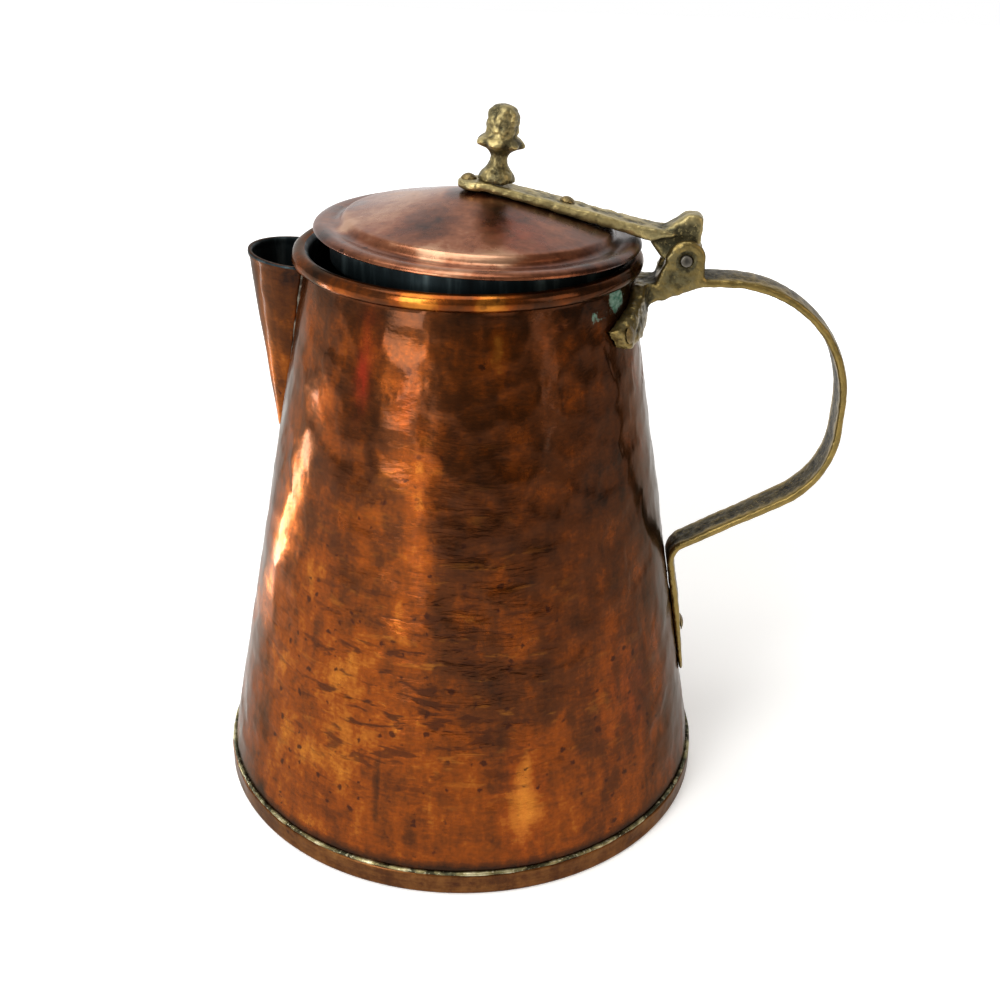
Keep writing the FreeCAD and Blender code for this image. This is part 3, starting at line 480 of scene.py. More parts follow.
def finished(name, mesh, materials, body, nodes, second=None):
    """Object of a mesh with outward faces and smooth shading, riding on a body in place of its nodes."""
    for material in materials:
        mesh.materials.append(material)
    if second is not None:
        mesh.polygons.foreach_set("material_index", second)
    face_outwards(mesh)
    mesh.shade_smooth()
    thing = placed(name, mesh)
    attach(thing, body)
    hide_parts(*nodes)
    print(name, "has", len(mesh.polygons), "faces")
    return thing


print("mesh helpers are ready")

# %% Surfaces from grids
UP = np.array([0.0, 0.0, 1.0])


def grid_object(name, points, materials, body, nodes, slot, ends="fan", lining=None, **marks):
    """Object of a grid of points (rows, columns, 3) in mm that closes round its columns.

    Its ends are a fan to the mean of each end row, a fold that joins each column to its mirror, or a ring,
    where the last row joins the first. Faces in the lining, a mask over the grid, take the second material,
    and marks are named values of each point that materials read.
    """
    rows, columns = points.shape[:2]
    index = np.arange(rows * columns).reshape(rows, columns)
    count = rows if ends == "ring" else rows - 1
    following = np.roll(index, -1, axis=1)
    quads = np.stack([index, following, np.roll(following, -1, axis=0), np.roll(index, -1, axis=0)], axis=-1)
    faces = quads[:count].reshape(-1, 4).tolist()
    vertices = points.reshape(-1, 3)
    for row in (0, rows - 1):
        if ends == "fan":
            centre = np.full(columns, len(vertices))
            vertices = np.vstack([vertices, points[row].mean(axis=0)])
            faces += np.stack([index[row], following[row], centre], axis=-1).tolist()
        elif ends == "fold":
            near, far = index[row, :columns // 2], index[row, :columns // 2 - 1:-1]
            faces += np.stack([near[:-1], near[1:], far[1:], far[:-1]], axis=-1).tolist()
    mesh = bpy.data.meshes.new(name)
    mesh.from_pydata((vertices * MM).tolist(), [], faces)
    for mark, values in marks.items():
        every = np.zeros(len(vertices))
        every[:rows * columns] = np.broadcast_to(values, (rows, columns)).ravel()
        set_mark(mesh, mark, every)
    second = np.zeros(len(faces), np.int32)
    if lining is not None:
        second[:count * columns] = np.broadcast_to(lining, (rows, columns))[:count].ravel()
    return finished(name, mesh, materials, body, nodes, second)


def outline(radius, height):
    """Points (radius, height) of a profile, from two arrays or from an array and one number."""
    return np.stack(np.broadcast_arrays(radius, height), axis=-1)


def full_turn(steps):
    """Angles of a number of equal steps round a circle."""
    return np.linspace(0, 2 * np.pi, steps, endpoint=False)


def spun(profile, columns):
    """Profile carried round Z: points (rows, columns, 3), and the angle and outward way of each column."""
    angle = full_turn(columns)
    outward = np.stack([np.cos(angle), np.sin(angle), 0 * angle], axis=-1)
    return profile[:, :1, None] * outward + profile[:, 1:, None] * UP, angle, outward


print("grid helpers are ready")

# %% [markdown]
# The wall is a cone rolled from sheet, hammered row by row, with its rim curled over a wire. Its section is a
# closed outline, carried once round the axis. The hammer marks push it in by a fraction of a millimetre: too
# little to see as shape, but enough to break every reflection into facets.

# %% Body wall: its section
FOOT_RADIUS = 94.55
BAND_HEIGHT = 8.7
NECK_RADIUS = 57.0
RIM_HEIGHT = 209.4
WALL_SHEET = 1.2
WALL_FOOT = 1.45
CURL_RADIUS = 3.0
CURL_START = -112
CURL_INSIDE = 6
WALL_COLUMNS = 480


def wall_radius(height):
    """Outside of the cone at a height in mm."""
    return FOOT_RADIUS - (FOOT_RADIUS - NECK_RADIUS) * (height - BAND_HEIGHT) / (RIM_HEIGHT - BAND_HEIGHT)


curl_centre = NECK_RADIUS - WALL_SHEET + CURL_RADIUS
curl = np.radians(np.linspace(CURL_START, 180, 26))
foot = [(FOOT_RADIUS, WALL_FOOT), (FOOT_RADIUS, (WALL_FOOT + BAND_HEIGHT) / 2)]
outside = np.linspace(BAND_HEIGHT, RIM_HEIGHT - CURL_RADIUS, 124)
inside = np.linspace(RIM_HEIGHT, BAND_HEIGHT, 24)[1:]
wall_profile = np.vstack([
    foot,
    outline(wall_radius(outside), outside),
    outline(curl_centre + CURL_RADIUS * np.cos(curl), RIM_HEIGHT + CURL_RADIUS * np.sin(curl)),
    outline(wall_radius(inside) - WALL_SHEET, inside),
    [(FOOT_RADIUS - WALL_SHEET, WALL_FOOT)],
])
points, angle, outward = spun(wall_profile, WALL_COLUMNS)
row = np.arange(len(wall_profile))[:, None]
curl_row = len(foot) + len(outside)
lining_row = curl_row + len(curl) - CURL_INSIDE
is_outside = (row >= len(foot)) & (row < curl_row)
is_bead = (row >= curl_row) & (row < lining_row)
is_inside = row >= lining_row
print("wall section has", len(wall_profile), "points")

# %% [markdown]
# Each hammer blow is about as wide as a thumb and was struck along rings, so a dish is 15 mm wide and 10 mm
# high. Old stains and painted light are listed one by one: each is a soft patch with an azimuth in degrees,
# a height, half width and half height in mm, and a strength. A negative shade is brighter.

# %% Body wall: hammering, stains and painted light
DISH_TURNS = 32
DISH_HEIGHT = 10.0
DISH_DEPTH = 0.6
DISH_SHADE = 0.12
FOOT_FADE = 6
BEAD_SHADE = 0.15
# Among the shade patches, the bright streak down the front and the bright flame low down are painted
# highlights, the darker right side paints the dim room that the copper mirrors there, and the ring just under
# the rim is painted shadow below the bead
WALL_STAINS_AND_PAINTED_LIGHT = {
    "shade": [
        (-62, 150, 32, 46, 0.18), (-87, 95, 9, 34, 0.16), (-76, 80, 22, 28, 0.12), (-12, 110, 48, 100, 0.24),
        (-160, 175, 22, 36, 0.16), (-118, 62, 44, 40, -0.16), (-97, 150, 6, 48, -0.10),
        (-112, 170, 12, 30, 0.12), (-71.5, 42, 4, 14, -0.3), (-71.5, 29, 7, 9, -0.28),
        (-125, 165, 18, 30, 0.06), (-141, 12, 3, 5, 0.5), (-106, 40, 0.8, 14, 0.4), (-76, 196, 3, 10, -0.4),
        (-95, 10, 400, 2, 0.5), (-27, 192, 6, 12, 0.4), (-95, 203, 400, 5, 0.2)],
    "specks": [(-130, 34, 44, 34, 0.26), (-42, 48, 26, 34, 0.2), (70, 40, 60, 34, 0.2)],
    # In the redness list, the first patch, a narrow red streak high on the left, paints a reflection of
    # something red, and the last one tints the painted flame
    "redness": [
        (-119.5, 181, 2.6, 9, 0.6), (-118, 195, 4, 8, 0.2), (-104, 176, 4, 9, 0.06), (-40, 60, 14, 22, 0.06),
        (-71.5, 34, 7, 16, 0.13)],
    "verdigris": [(-27, 203, 6, 5, 0.9), (-40, 200, 8, 5, 0.4), (31, 202, 5, 5, 0.7)],
    "crease": [
        (-112, 72, 48, 46, 1.0), (-80, 95, 26, 40, 0.5), (-55, 55, 40, 40, 0.4), (-100, 150, 30, 30, 0.25),
        (60, 70, 70, 50, 0.8), (130, 80, 60, 50, 0.7)],
}
# Bright patches on the rim bead: rubbed metal, and painted highlights where the bead catches the light
RIM_WEAR_AND_HIGHLIGHTS = [
    (-100, 209, 7, 9, 0.55), (-79, 209, 7, 9, 0.5), (-128, 209, 6, 9, 0.25), (40, 209, 14, 9, 0.3),
    (150, 209, 9, 9, 0.3)]


def wall_patches(stains_and_light, angle, height):
    """Sum of soft patches on the cone: strength times a bell over the distance along the ring and upwards."""
    total = 0.0
    for azimuth, middle, half_width, half_height, strength in stains_and_light:
        way = np.remainder(angle - np.radians(azimuth) + np.pi, 2 * np.pi) - np.pi
        across = way * wall_radius(height) / half_width
        total = total + strength * np.exp(-across ** 2 - ((height - middle) / half_height) ** 2)
    return total


height = wall_profile[:, 1:]
wander = swell(points, 26, 20)
dish = hammer_marks(angle / (2 * np.pi) * DISH_TURNS, height / DISH_HEIGHT + 0.5 * wander, DISH_TURNS, 11)
dent = -DISH_DEPTH * (dish - 0.5) + 0.2 * swell(points, 30, 23) + 0.13 * grain(points, 8, 25, layers=2)
fade = is_outside * ramp(height, BAND_HEIGHT, FOOT_FADE)
push = fade * dent + is_bead * lumps(points, (0.12, 6, 24), (0.16, 11, 28))
stains_and_light = {mark: is_outside * wall_patches(places, angle, height) for mark, places in WALL_STAINS_AND_PAINTED_LIGHT.items()}
worn_and_highlit = wall_patches(RIM_WEAR_AND_HIGHLIGHTS, angle, height) + 0.2 * swell(points, 9, 26)
# Painted shade and highlight: the wall is darker between the hammer dishes and lighter in their middles, and
# the bead is darker except where wear and painted highlights brighten it
stains_and_light["shade"] = (stains_and_light["shade"] + is_bead * (BEAD_SHADE - worn_and_highlit)
                   - is_outside * DISH_SHADE * (dish - 0.45))
points = points + push[..., None] * outward
wall = grid_object("copper_wall", points, [wall_copper, tin], "pot", ["body_wall"], "aged_copper",
                   ends="ring", lining=is_inside, **stains_and_light)

# %% [markdown]
# The base is a shallow pan whose flange stands up round the foot, and a bead of braze closes the joint. Both
# are spun outlines. The pan's starts and ends near the axis, where the grid closes in a fan.

# %% Base pan and its braze
BASE_RADIUS = 96.0
BASE_SHEET = 1.4
BASE_EDGE = 1.45
FAN_RADIUS = 4.0
BEVEL_IN, BEVEL_DOWN = 0.4, 0.3
BAND_FADE_START, BAND_FADE = 1.2, 2.0
bottom = np.linspace(FAN_RADIUS, BASE_RADIUS - BASE_EDGE, 14)
bend = np.radians(np.linspace(-90, 0, 7))[1:]
band = np.linspace(BASE_EDGE, BAND_HEIGHT - BEVEL_DOWN, 9)[1:]
floor_inside = np.linspace(BASE_RADIUS - BASE_SHEET, FAN_RADIUS, 12)
pan_profile = np.vstack([
    outline(bottom, 0.0),
    outline(BASE_RADIUS - BASE_EDGE + BASE_EDGE * np.cos(bend), BASE_EDGE + BASE_EDGE * np.sin(bend)),
    outline(BASE_RADIUS, band),
    [(BASE_RADIUS - BEVEL_IN, BAND_HEIGHT), (BASE_RADIUS - BASE_SHEET, BAND_HEIGHT)],
    outline(floor_inside, BASE_SHEET),
])
points, _, outward = spun(pan_profile, WALL_COLUMNS)
radius, height = pan_profile[:, :1], pan_profile[:, 1:]
is_band = (radius > BASE_RADIUS - BASE_SHEET / 2) * ramp(height, BAND_FADE_START, BAND_FADE)
dent = lumps(points, (0.22, 9, 31), (0.12, 3.5, 32)) - 0.1
is_inside = np.arange(len(pan_profile))[:, None] >= len(pan_profile) - len(floor_inside) - 1
points = points + (is_band * dent)[..., None] * outward
grid_object("base_dish", points, [band_copper, tin], "pot", ["base_pan"], "aged_copper", lining=is_inside)

BEAD_OUT, BEAD_UP = 0.35, 0.3
BEAD_HALF_WIDTH, BEAD_HALF_HEIGHT = 0.8, 0.62
turn = full_turn(14)
bead_profile = outline(FOOT_RADIUS + BEAD_OUT + BEAD_HALF_WIDTH * np.cos(turn),
                       BAND_HEIGHT + BEAD_UP + BEAD_HALF_HEIGHT * np.sin(turn))
points, _, outward = spun(bead_profile, WALL_COLUMNS)
lump = lumps(points, (0.12, 2.2, 33), (0.14, 7, 34))
away = np.cos(turn)[:, None, None] * outward + np.sin(turn)[:, None, None] * UP
grid_object("base_bead", points + lump[..., None] * away, [braze], "pot", ["base_braze"], "braze",
            ends="ring", relief=0.36 + 1.9 * lump)

# %% [markdown]
# The spout is half a funnel. Each of its sections is an arc that starts and ends on the wall, so the angle
# where it meets the wall is worked out first, and the sheet is then drawn between those two angles, outside
# and in. Its mouth has a thin rolled hem, and the inside is tinned like the pot's.

# %% Spout: its shape
SPOUT_TURN = np.radians(7.0)
MOUTH_TILT = np.radians(6.0)
MOUTH_RADIUS = 18.5
MOUTH_CENTRE = 80.6 - MOUTH_RADIUS
MOUTH_LEVEL = 207.0 - MOUTH_RADIUS * np.sin(MOUTH_TILT)
TIP_RADIUS = 2.6
TIP_LEVEL = 137.0
TIP_CENTRE = wall_radius(TIP_LEVEL) + 3.4 - TIP_RADIUS
SEAM_GAP = 0.05
HALVINGS = 40
X, Y, Z = range(3)


def beak(share, theta, inset):
    """Point of the funnel at a share of the way up and an angle round it, set in from the outside.

    It lies on the straight line from the tip's level circle to the mouth's tilted circle.
    """
    low = TIP_RADIUS - inset
    high = MOUTH_RADIUS - inset
    out = (1 - share) * (TIP_CENTRE + low * np.cos(theta)) + share * (
        MOUTH_CENTRE + high * np.cos(theta) * np.cos(MOUTH_TILT))
    side = ((1 - share) * low + share * high) * np.sin(theta)
    level = (1 - share) * (TIP_LEVEL + inset) + share * (
        MOUTH_LEVEL + high * np.cos(theta) * np.sin(MOUTH_TILT))
    return np.stack([out, side, level], axis=-1)


def seam_angle(share, inset):
    """Angle where the funnel meets the cone, by halving: it is outside at 0 and inside at half a turn."""
    low = np.zeros_like(share)
    high = np.full_like(share, np.pi)
    for _ in range(HALVINGS):
        middle = (low + high) / 2
        spot = beak(share, middle, inset)
        clear = np.hypot(spot[..., X], spot[..., Y]) > wall_radius(spot[..., Z]) + SEAM_GAP
        low = np.where(clear, middle, low)
        high = np.where(clear, high, middle)
    return low


def turned(points, angle, first, second):
    """Points turned from one axis towards another: each new value mixes both by a cosine and a sine."""
    result = points.copy()
    result[..., first] = points[..., first] * np.cos(angle) - points[..., second] * np.sin(angle)
    result[..., second] = points[..., first] * np.sin(angle) + points[..., second] * np.cos(angle)
    return result


def to_spout(points):
    """Points from the spout's own frame, where it stands out along +X, to the pot's."""
    return turned(points, np.pi - SPOUT_TURN, X, Y)


mouth_angle = np.degrees(seam_angle(np.array([1.0]), 0.0))
print("spout meets the wall at", mouth_angle.round(1), "degrees at its mouth")

# %% Spout: its sheet
SPOUT_SHEET = 1.0
HEM_RISE = 0.3
HEM_MIDDLE = 0.985
HEM_HALF = 0.0155
HEM_START = 0.96
FAN_OUT = 1.8
DRAWN_UP = np.array([1, 1, 0.4])
share = np.linspace(0, 1, 90)[:, None]
way = np.linspace(-1, 1, 72)[None, :]
hem = HEM_RISE * np.sqrt(np.clip(1 - ((share - HEM_MIDDLE) / HEM_HALF) ** 2, 0, 1))
aside = np.stack([np.cos(way * FAN_OUT), np.sin(way * FAN_OUT), 0 * way], axis=-1)
skin = beak(share, way * seam_angle(share, 0.0), 0.0 * way)
inner = beak(share, way * seam_angle(share, SPOUT_SHEET), SPOUT_SHEET + 0.0 * way)
dent = 0.22 * swell(skin, 13, 41) + 0.10 * swell(skin * DRAWN_UP, 3.0, 42)
# The dents fade towards the seam, the tip and the hem
free = np.clip((1 - np.abs(way)) * 8, 0, 1) * np.clip(share * 20, 0, 1) * (share < HEM_START)
outer = skin + (free * dent + hem)[..., None] * aside
inner = inner - hem[..., None] * aside
spout = np.concatenate([outer, inner[:, ::-1]], axis=1)
is_inside = (np.arange(spout.shape[1])[None, :] >= way.size - 1) | (share > 0.98)
grid_object("spout_sheet", to_spout(spout), [spout_copper, tin], "pot", ["spout_beak"], "aged_copper",
            ends="fold", lining=is_inside, shade=np.clip(0.3 - 0.5 * (1 - share), -0.1, 0.3))

# %% [markdown]
# Behind the spout six small holes in a triangle hold the grounds back. They show when the lid is open. A
# grid has no holes, so round drills are taken away from the wall with one Boolean cut, and the result goes
# back into the wall's own mesh.

# %% Strainer holes
STRAINER_RADIUS = 1.9
STRAINER_PITCH = 8.0
STRAINER_LEVEL = RIM_HEIGHT - 27.4
STRAINER_LINES = 3
DRILL_ENDS = (50.0, 76.0)


def with_modifiers(thing):
    """New mesh of an object with its modifiers worked in."""
    return bpy.data.meshes.new_from_object(thing.evaluated_get(bpy.context.evaluated_depsgraph_get()))


turn = full_turn(20)
centres = np.array([(STRAINER_PITCH * (place - (count - 1) / 2), STRAINER_LEVEL - STRAINER_PITCH * line)
                    for line, count in enumerate(range(STRAINER_LINES, 0, -1)) for place in range(count)])
rim = centres[:, None] + STRAINER_RADIUS * np.stack([np.cos(turn), np.sin(turn)], axis=-1)
drills = np.stack([np.insert(rim, 0, out, axis=-1) for out in DRILL_ENDS], axis=1)
index = np.arange(drills.size // 3).reshape(drills.shape[:3])
following = np.roll(index, -1, axis=2)
sides = np.stack([index[:, 0], following[:, 0], following[:, 1], index[:, 1]], axis=-1).reshape(-1, 4)
drill_mesh = bpy.data.meshes.new("drills")
drill_mesh.from_pydata((to_spout(drills).reshape(-1, 3) * MM).tolist(), [],
                       sides.tolist() + index[:, 0].tolist() + index[:, 1].tolist())
face_outwards(drill_mesh)
drill = placed("drills", drill_mesh)
cut = wall.modifiers.new("strainer", "BOOLEAN")
cut.operation = "DIFFERENCE"
cut.solver = "EXACT"
cut.object = drill
drilled = with_modifiers(wall)
wall.modifiers.clear()
bpy.data.objects.remove(drill)
work = bmesh.new()
work.from_mesh(drilled)
open_edges = sum(not edge.is_manifold for edge in work.edges)
work.to_mesh(wall.data)
work.free()
print("the wall has", len(centres), "holes,", len(wall.data.polygons), "faces and", open_edges, "open edges")

# %% [markdown]
# Solder was run along the seam from both sides, and it shows as a thin lumpy line. It is a small round
# section carried along the line where the funnel meets the wall, with noise for its uneven thickness.

# %% Solder along the spout's seam
SOLDER_RADIUS = 0.5
SOLDER_TURN = 0.01


def unit(ways):
    """Directions of length 1: each divided by its own length."""
    return ways / np.linalg.norm(ways, axis=-1, keepdims=True)


share = np.linspace(0.03, 0.985, 150)
turn = full_turn(10)[:, None]
for name, side, nodes in (("solder_near", 1.0, ["spout_braze"]), ("solder_far", -1.0, [])):
    line = beak(share, side * (seam_angle(share, 0.0) + SOLDER_TURN), 0.0)
    ahead = np.gradient(line, axis=0)
    across = unit(np.cross(ahead, UP))
    square = unit(np.cross(ahead, across))
    lump = lumps(line, (0.45, 2.4, 43), (0.35, 6.0, 44))
    tube = line[:, None] + (SOLDER_RADIUS * (1 + lump))[:, None, None] * (
        across[:, None] * np.cos(turn) + square[:, None] * np.sin(turn))
    grid_object(name, to_spout(tube), [solder], "pot", nodes, "braze", relief=0.5 + 0.4 * lump[:, None])

# %% [markdown]
# The lid is drawn in its own frame, with its axis upright and its lip at zero, and then tipped about the
# hinge pin, because it doesn't quite shut. Its section runs from the crown down the slope, over the
# shoulder, through the cove, round the brim and back underneath. A smooth curve through a few corners gives
# the soft bends that sheet takes over a stake.

# %% Lid: its section
LID_OFFSET = np.array([3.3, 0.0, 214.2])
PIN_PLACE = np.array([76.1, 0.0, 211.2])
LID_TILT = np.radians(2.0)
LID_RISE = 15.2
LID_SHEET = 1.1
LID_COLUMNS = 420
CROWN_EDGE = 2.5
SLOPE_START = 3.0
SLOPE_EDGE = 44.6
SLOPE_FALL = 10.2 / 43.8
SLOPE_BELLY = 0.35


def smooth_path(corners, steps):
    """Catmull-Rom curve through corners: each span blends its four nearest corners with cubic weights."""
    corners = np.asarray(corners, float)
    padded = np.vstack([2 * corners[0] - corners[1], corners, 2 * corners[-1] - corners[-2]])
    part = np.linspace(0, 1, steps, endpoint=False)[:, None]
    first, second, third, fourth = (padded[start:len(padded) - 3 + start, None] for start in range(4))
    spans = 0.5 * (2 * second + (third - first) * part
                   + (2 * first - 5 * second + 4 * third - fourth) * part ** 2
                   + (3 * second - first - 3 * third + fourth) * part ** 3)
    return np.vstack([spans.reshape(-1, corners.shape[1]), corners[-1:]])


def to_lid(points):
    """Points from the lid's own frame to the pot's: moved over the mouth, then tipped about the pin."""
    return turned(points + LID_OFFSET - PIN_PLACE, LID_TILT, Z, X) + PIN_PLACE


slope = np.linspace(SLOPE_START, SLOPE_EDGE, 44)
slope_height = (LID_RISE - (slope - CROWN_EDGE) * SLOPE_FALL
                + SLOPE_BELLY * np.sin(np.pi * slope / SLOPE_EDGE))
ogee = smooth_path([(44.6, 5.42), (46.4, 4.85), (47.6, 3.7), (48.6, 2.55), (50.4, 1.95), (52.6, 2.15),
                    (54.9, 2.2), (56.7, 1.55), (57.5, 0.55), (57.2, 0.0)], 5)
under = smooth_path([(55.8, 0.0), (55.6, 1.05), (50.0, 0.95), (47.0, 1.9), (45.4, 3.7)], 4)
inner = np.linspace(SLOPE_EDGE, SLOPE_START, 16)
inner_height = LID_RISE - LID_SHEET - (inner - CROWN_EDGE) * SLOPE_FALL
lid_profile = np.vstack([outline(slope, slope_height), ogee[1:], under, outline(inner, inner_height)])
points, angle, _ = spun(lid_profile, LID_COLUMNS)
row = np.arange(len(lid_profile))[:, None]
top_rows = len(slope) + len(ogee) - 1
is_top = row < top_rows - 3
print("lid section has", len(lid_profile), "points")

# %% Lid: dents, stains and painted light
COVE_RADIUS = 49.6
SHOULDER_RADIUS = 46.6
STRAP_HALF = 7.6
STRAP_START = -13
# Each stain or patch of painted light has its X and Y in the lid's own frame, its half width in mm and its
# strength. In the shade list the brighter patches on the left, the white gleam in the cove and the two
# golden gleams on the shoulder are painted highlights and reflections.
LID_STAINS_AND_PAINTED_LIGHT = {
    "shade": [
        (-14, -30, 10, 0.2), (-33, -16, 12, -0.34), (-2, -29, 6, -0.14), (8, -18, 7, 0.3),
        (-12.5, -45.9, 5, -0.5), (9.8, -46.1, 5, -0.45), (-44, -19, 4, -0.7), (-50, -24, 6, 0.3),
        (20, 34, 14, 0.25), (-34, 14, 20, -0.22)],
    "redness": [(14, -30, 13, 0.45), (-30, -26, 10, 0.25), (10, 30, 12, 0.3)],
}


def bell(distance, half_width):
    """1 at no distance, falling as e to the power of minus the squared distance in half widths."""
    return np.exp(-(distance / half_width) ** 2)


def lid_patches(stains_and_light, points):
    """Sum of soft round patches: strength times a bell over the level distance from each patch's middle."""
    return sum(strength * bell(np.hypot(points[..., X] - x, points[..., Y] - y), half_width)
               for x, y, half_width, strength in stains_and_light)


points[..., Z] += is_top * lumps(points, (0.12, 17, 51), (0.05, 5, 52))
points[..., :2] *= (1 + 0.0012 * swell(points, 22, 53))[..., None]
cove = is_top * bell(lid_profile[:, :1] - COVE_RADIUS, 1.6)
right = np.clip(np.cos(angle), 0, 1)
worn_and_highlit = bell(lid_profile[:, :1] - SHOULDER_RADIUS, 1.3) * np.clip(0.5 + swell(points, 18, 56), 0, 1)
shadow_under_strap = np.exp(-(points[..., Y] / STRAP_HALF) ** 4) * ramp(points[..., X], STRAP_START, 3)
marks = {mark: is_top * lid_patches(places, points) for mark, places in LID_STAINS_AND_PAINTED_LIGHT.items()}
# Painted shade: the lid is darker in the cove, on the side towards the handle and in a fringe along the
# strap, where its shadow falls; the shoulder is brighter where it is worn and where a painted highlight runs
marks["shade"] += is_top * (0.12 * cove + 0.2 * right + 0.4 * shadow_under_strap - 0.2 * worn_and_highlit
                            + 0.2 * swell(points, 26, 54))
grid_object("lid_skin", to_lid(points), [lid_copper, tin], "lid", ["lid_dome"], "aged_copper",
            lining=row >= top_rows + 2, crease=0.35 * cove, **marks)

# %% [markdown]
# Under the brim a tinned collar drops into the mouth. It shows in the dark gap below the raised lid, so it is
# a closed ring of sheet with the slow waviness that an old ring has.

# %% Lid collar
COLLAR_RADIUS = 51.6
COLLAR_SHEET = 0.9
COLLAR_BOTTOM, COLLAR_TOP = -10.0, 1.05
rise = np.linspace(COLLAR_BOTTOM, COLLAR_TOP, 14)
collar_profile = np.vstack([outline(COLLAR_RADIUS, rise), outline(COLLAR_RADIUS - COLLAR_SHEET, rise[::-1])])
points, _, _ = spun(collar_profile, 240)
points[..., :2] *= (1 + 0.003 * swell(points, 20, 55))[..., None]
grid_object("collar_ring", to_lid(points), [tin], "lid", ["lid_collar"], "tinned_copper", ends="ring")

# %% [markdown]
# The handle, the lid's strap, the pin and the rivets have the right outline as CAD solids, but neither a
# mould of sand nor a hammer leaves a sharp edge. So a copy of each is rebuilt from small cubes, which welds
# its faces into one skin, relaxed until the edges are soft, and roughened with noise. How far a point stands
# out from its neighbours is kept as its relief, for the metal to read.

# %% Castings: from solid to skin
WELD_DISTANCE = 0.002


def relaxed(places, edges, rounds):
    """Points drawn half of the way towards the mean of their neighbours, for a number of rounds."""
    count = np.bincount(edges.ravel(), minlength=len(places))
    for _ in range(rounds):
        means = [(np.bincount(edges[:, 0], places[edges[:, 1], axis], len(places))
                  + np.bincount(edges[:, 1], places[edges[:, 0], axis], len(places))) / count
                 for axis in range(3)]
        places = (places + np.stack(means, axis=-1)) / 2
    return places


def cube_skin(node, voxel):
    """New mesh of a CAD node's copy, welded and rebuilt from cubes of a size in mm."""
    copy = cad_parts[node].data.copy()
    work = bmesh.new()
    work.from_mesh(copy)
    bmesh.ops.remove_doubles(work, verts=work.verts, dist=WELD_DISTANCE * MM)
    work.to_mesh(copy)
    work.free()
    helper = placed("helper", copy)
    cubes = helper.modifiers.new("cubes", "REMESH")
    cubes.mode = "VOXEL"
    cubes.voxel_size = voxel * MM
    mesh = with_modifiers(helper)
    bpy.data.objects.remove(helper)
    mesh.materials.clear()
    return mesh


print("casting helpers are ready")

# %% Castings
SHAPE_ROUNDS = 60
MEAN_RELIEF = 0.48
RELIEF_RANGE = 0.9
CRUST_GROWTH = 2
CRUST_REACH = 12
SLOW_STRENGTH = 1.6
SLOW_SIZE = 5


def casting(name, node, material, body, voxel, soft, rough, grit, seed, crusty=0.0, darker_rings=(),
            crumbly=(0, 0, 1, 0), side_shade=0.0):
    """A CAD node's copy as one soft-edged skin, with lengths in mm.

    It is rebuilt in cubes, relaxed, and pushed along its normals by noise of two sizes, which grows to three
    times its strength where X is smaller than crusty. Each darker ring has its X, Z, radius, half width and
    strength, and a radius of zero makes it a patch. The crumbly patch has its X, Z, half width and strength.
    The last argument is painted shade by the way a face turns: how much darker the faces towards -Y and +Y
    are than the others.
    """
    mesh = cube_skin(node, voxel)
    mesh.name = name
    places = np.empty((len(mesh.vertices), 3))
    normals = np.empty_like(places)
    edges = np.empty((len(mesh.edges), 2), dtype=int)
    mesh.vertices.foreach_get("co", places.ravel())
    mesh.edges.foreach_get("vertices", edges.ravel())
    places = relaxed(places / MM, edges, soft)
    mesh.vertices.foreach_set("co", (places * MM).ravel())
    mesh.update()
    mesh.vertices.foreach_get("normal", normals.ravel())
    stand = ((places - relaxed(places, edges, SHAPE_ROUNDS)) * normals).sum(axis=-1)
    growth = 1 + CRUST_GROWTH * ramp(crusty - places[:, X], 0, CRUST_REACH)
    fine = rough * growth * grain(places, grit, seed)
    slow = SLOW_STRENGTH * rough * growth * swell(places, SLOW_SIZE * grit, seed + 9)
    mesh.vertices.foreach_set("co", ((places + (fine + slow)[:, None] * normals) * MM).ravel())
    relief = MEAN_RELIEF + stand / RELIEF_RANGE + fine - side_shade * (np.abs(normals[:, Y]) - 0.5)
    for middle, level, radius, half_width, strength in darker_rings:
        gap = np.hypot(places[:, X] - middle, places[:, Z] - level) - radius
        relief = relief - strength * bell(gap, half_width)
    middle, level, half_width, strength = crumbly
    gap = np.hypot(places[:, X] - middle, places[:, Z] - level) / half_width
    set_mark(mesh, "relief", np.clip(relief, 0, 1))
    set_mark(mesh, "crumbs", strength * np.exp(-gap ** 4))
    mesh.update()
    finished(name, mesh, [material], body, [node])


# On the handle the ring round the hinge pin is painted shade, the patches at the hinge and the tail are
# darker, and the faces towards -Y and +Y are painted a little lighter than the others
casting("handle_casting", "handle", handle_brass, "pot",
        voxel=0.62, soft=6, rough=0.13, grit=2.4, seed=61, crusty=78.0, crumbly=(66, 203, 20, 0.9),
        darker_rings=[(76.1, 211.2, 3.1, 0.7, 0.8), (78.0, 209.0, 0, 14, 0.2), (85.0, 68.0, 0, 28, 0.3)], side_shade=-0.12)
# On the strap the faces towards -Y and +Y are painted darker than its top, as painted shade, and a patch at
# the hinge is darker
casting("strap_casting", "lid_strap", cast_brass, "lid",
        voxel=0.45, soft=24, rough=0.2, grit=2.6, seed=63, crumbly=(78, 219, 14, 0.6),
        darker_rings=[(78.0, 217.0, 0, 17, 0.14)], side_shade=0.26)
casting("pin_iron", "hinge_pin", iron, "pot", voxel=0.22, soft=4, rough=0.06, grit=1.6, seed=65)
RIVETS = [("arm_rivet_near", "pot"), ("arm_rivet_far", "pot"), ("tail_rivet", "pot"),
          ("strap_rivet_front", "lid"), ("strap_rivet_rear", "lid")]
for seed, (node, body) in enumerate(RIVETS, 67):
    casting(f"{node}_peened", node, rivet_copper, body,
            voxel=0.25, soft=4, rough=0.10, grit=1.8, seed=seed)

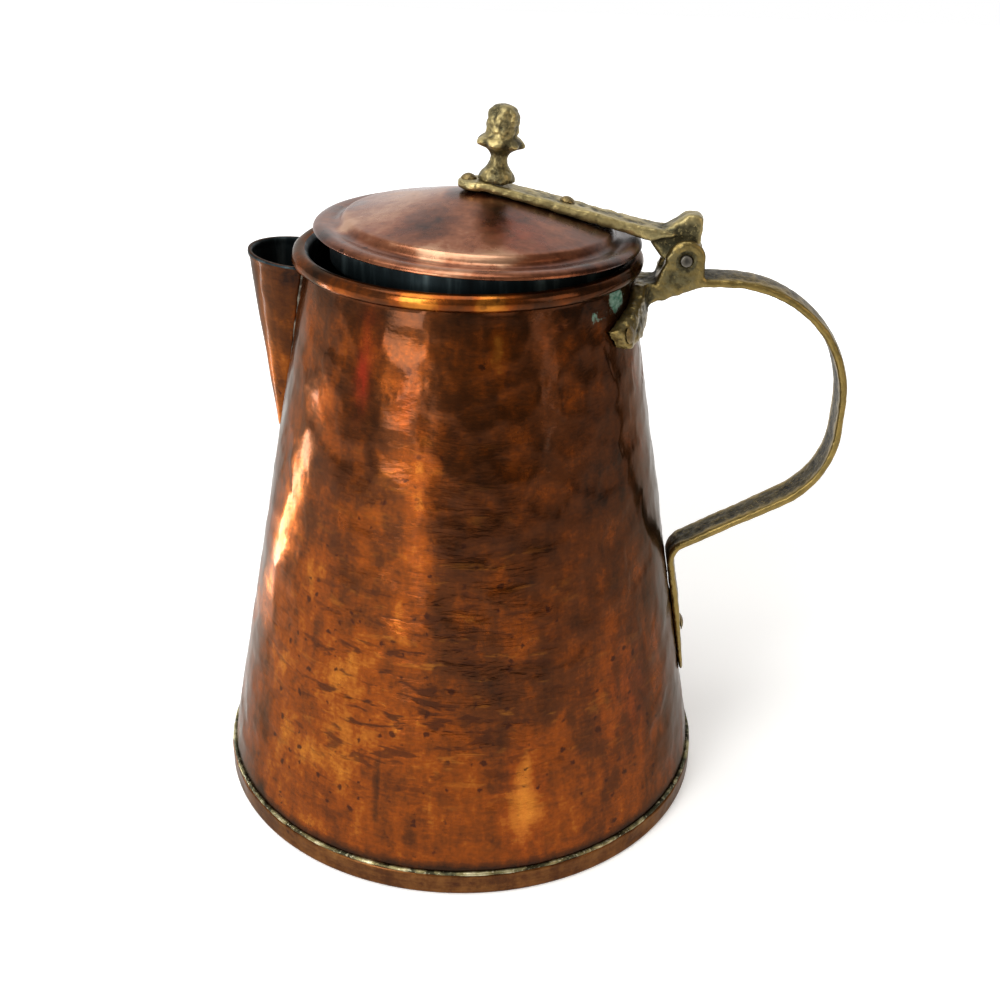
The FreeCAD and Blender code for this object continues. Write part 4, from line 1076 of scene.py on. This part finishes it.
# %% [markdown]
# The finial is a bud above a ring of petals on a flared stem. Its radius is a function of height and angle: a
# smooth profile gives the stem, waves round the ring give the petals, and the hammer marks turned inside out
# give the bud its lumpy scales. Noise then blurs all of it, as wear and a poor mould do.

# %% Finial
FINIAL_PLACE = np.array([5.2, 0.0, 18.285])
FINIAL_LEAN = np.radians(3.5)
PETALS = 7
PETAL_LEVEL = 13.0
PETAL_DEPTH = 0.5
PETAL_DROOP = 0.35
SCALES = 12
SCALE_DEPTH = 0.8
TIER = 2.3
BUD_START = 15.0
BUD_END = 25.9
finial_profile = smooth_path([
    (3.0, 0.0), (5.9, 0.05), (6.3, 1.2), (5.6, 2.9), (4.1, 4.6), (3.0, 6.8), (3.2, 9.0), (5.0, 10.9),
    (7.4, 12.1), (7.95, 13.3), (7.0, 14.4), (5.5, 15.5), (5.4, 17.4), (5.7, 19.6), (5.35, 22.3), (4.2, 24.3),
    (2.4, 25.4), (0.6, 25.7)], 9)
points, angle, outward = spun(finial_profile, 168)
height = finial_profile[:, 1:]
petals = bell(height - PETAL_LEVEL, 1.6) * np.cos(PETALS * angle)
bud = ramp(height, BUD_START, 1.0) * ramp(BUD_END - height, 0, 2.0)
scales = hammer_marks(angle / (2 * np.pi) * SCALES, (height - 14.0) / TIER, SCALES, 72)
push = PETAL_DEPTH * petals + bud * SCALE_DEPTH * (scales - 0.5)
push = push + 0.38 * grain(points, 3.4, 71) + 0.12 * grain(points, 1.2, 73)
points[..., Z] -= PETAL_DROOP * petals
points = turned(points + push[..., None] * outward, FINIAL_LEAN, Z, X) + FINIAL_PLACE
grid_object("finial_bud", to_lid(points), [cast_brass], "lid", ["finial"], "cast_brass",
            relief=np.clip(0.58 + push / 2.2, 0, 1))
print("the bud stands", round(float(finial_profile[:, 1].max()), 1), "mm tall")

# %% [markdown]
# Two pieces stay as CAD gives them, because they are out of sight: the wire in the rim and the washer under
# the finial. They still get a real finish, in case someone looks inside.

# %% Hidden pieces
for node, material in (("rim_wire", iron), ("finial_rove", rivet_copper)):
    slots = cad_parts[node].data.materials
    slots.clear()
    slots.append(material)
print("kept from CAD: rim_wire, finial_rove")
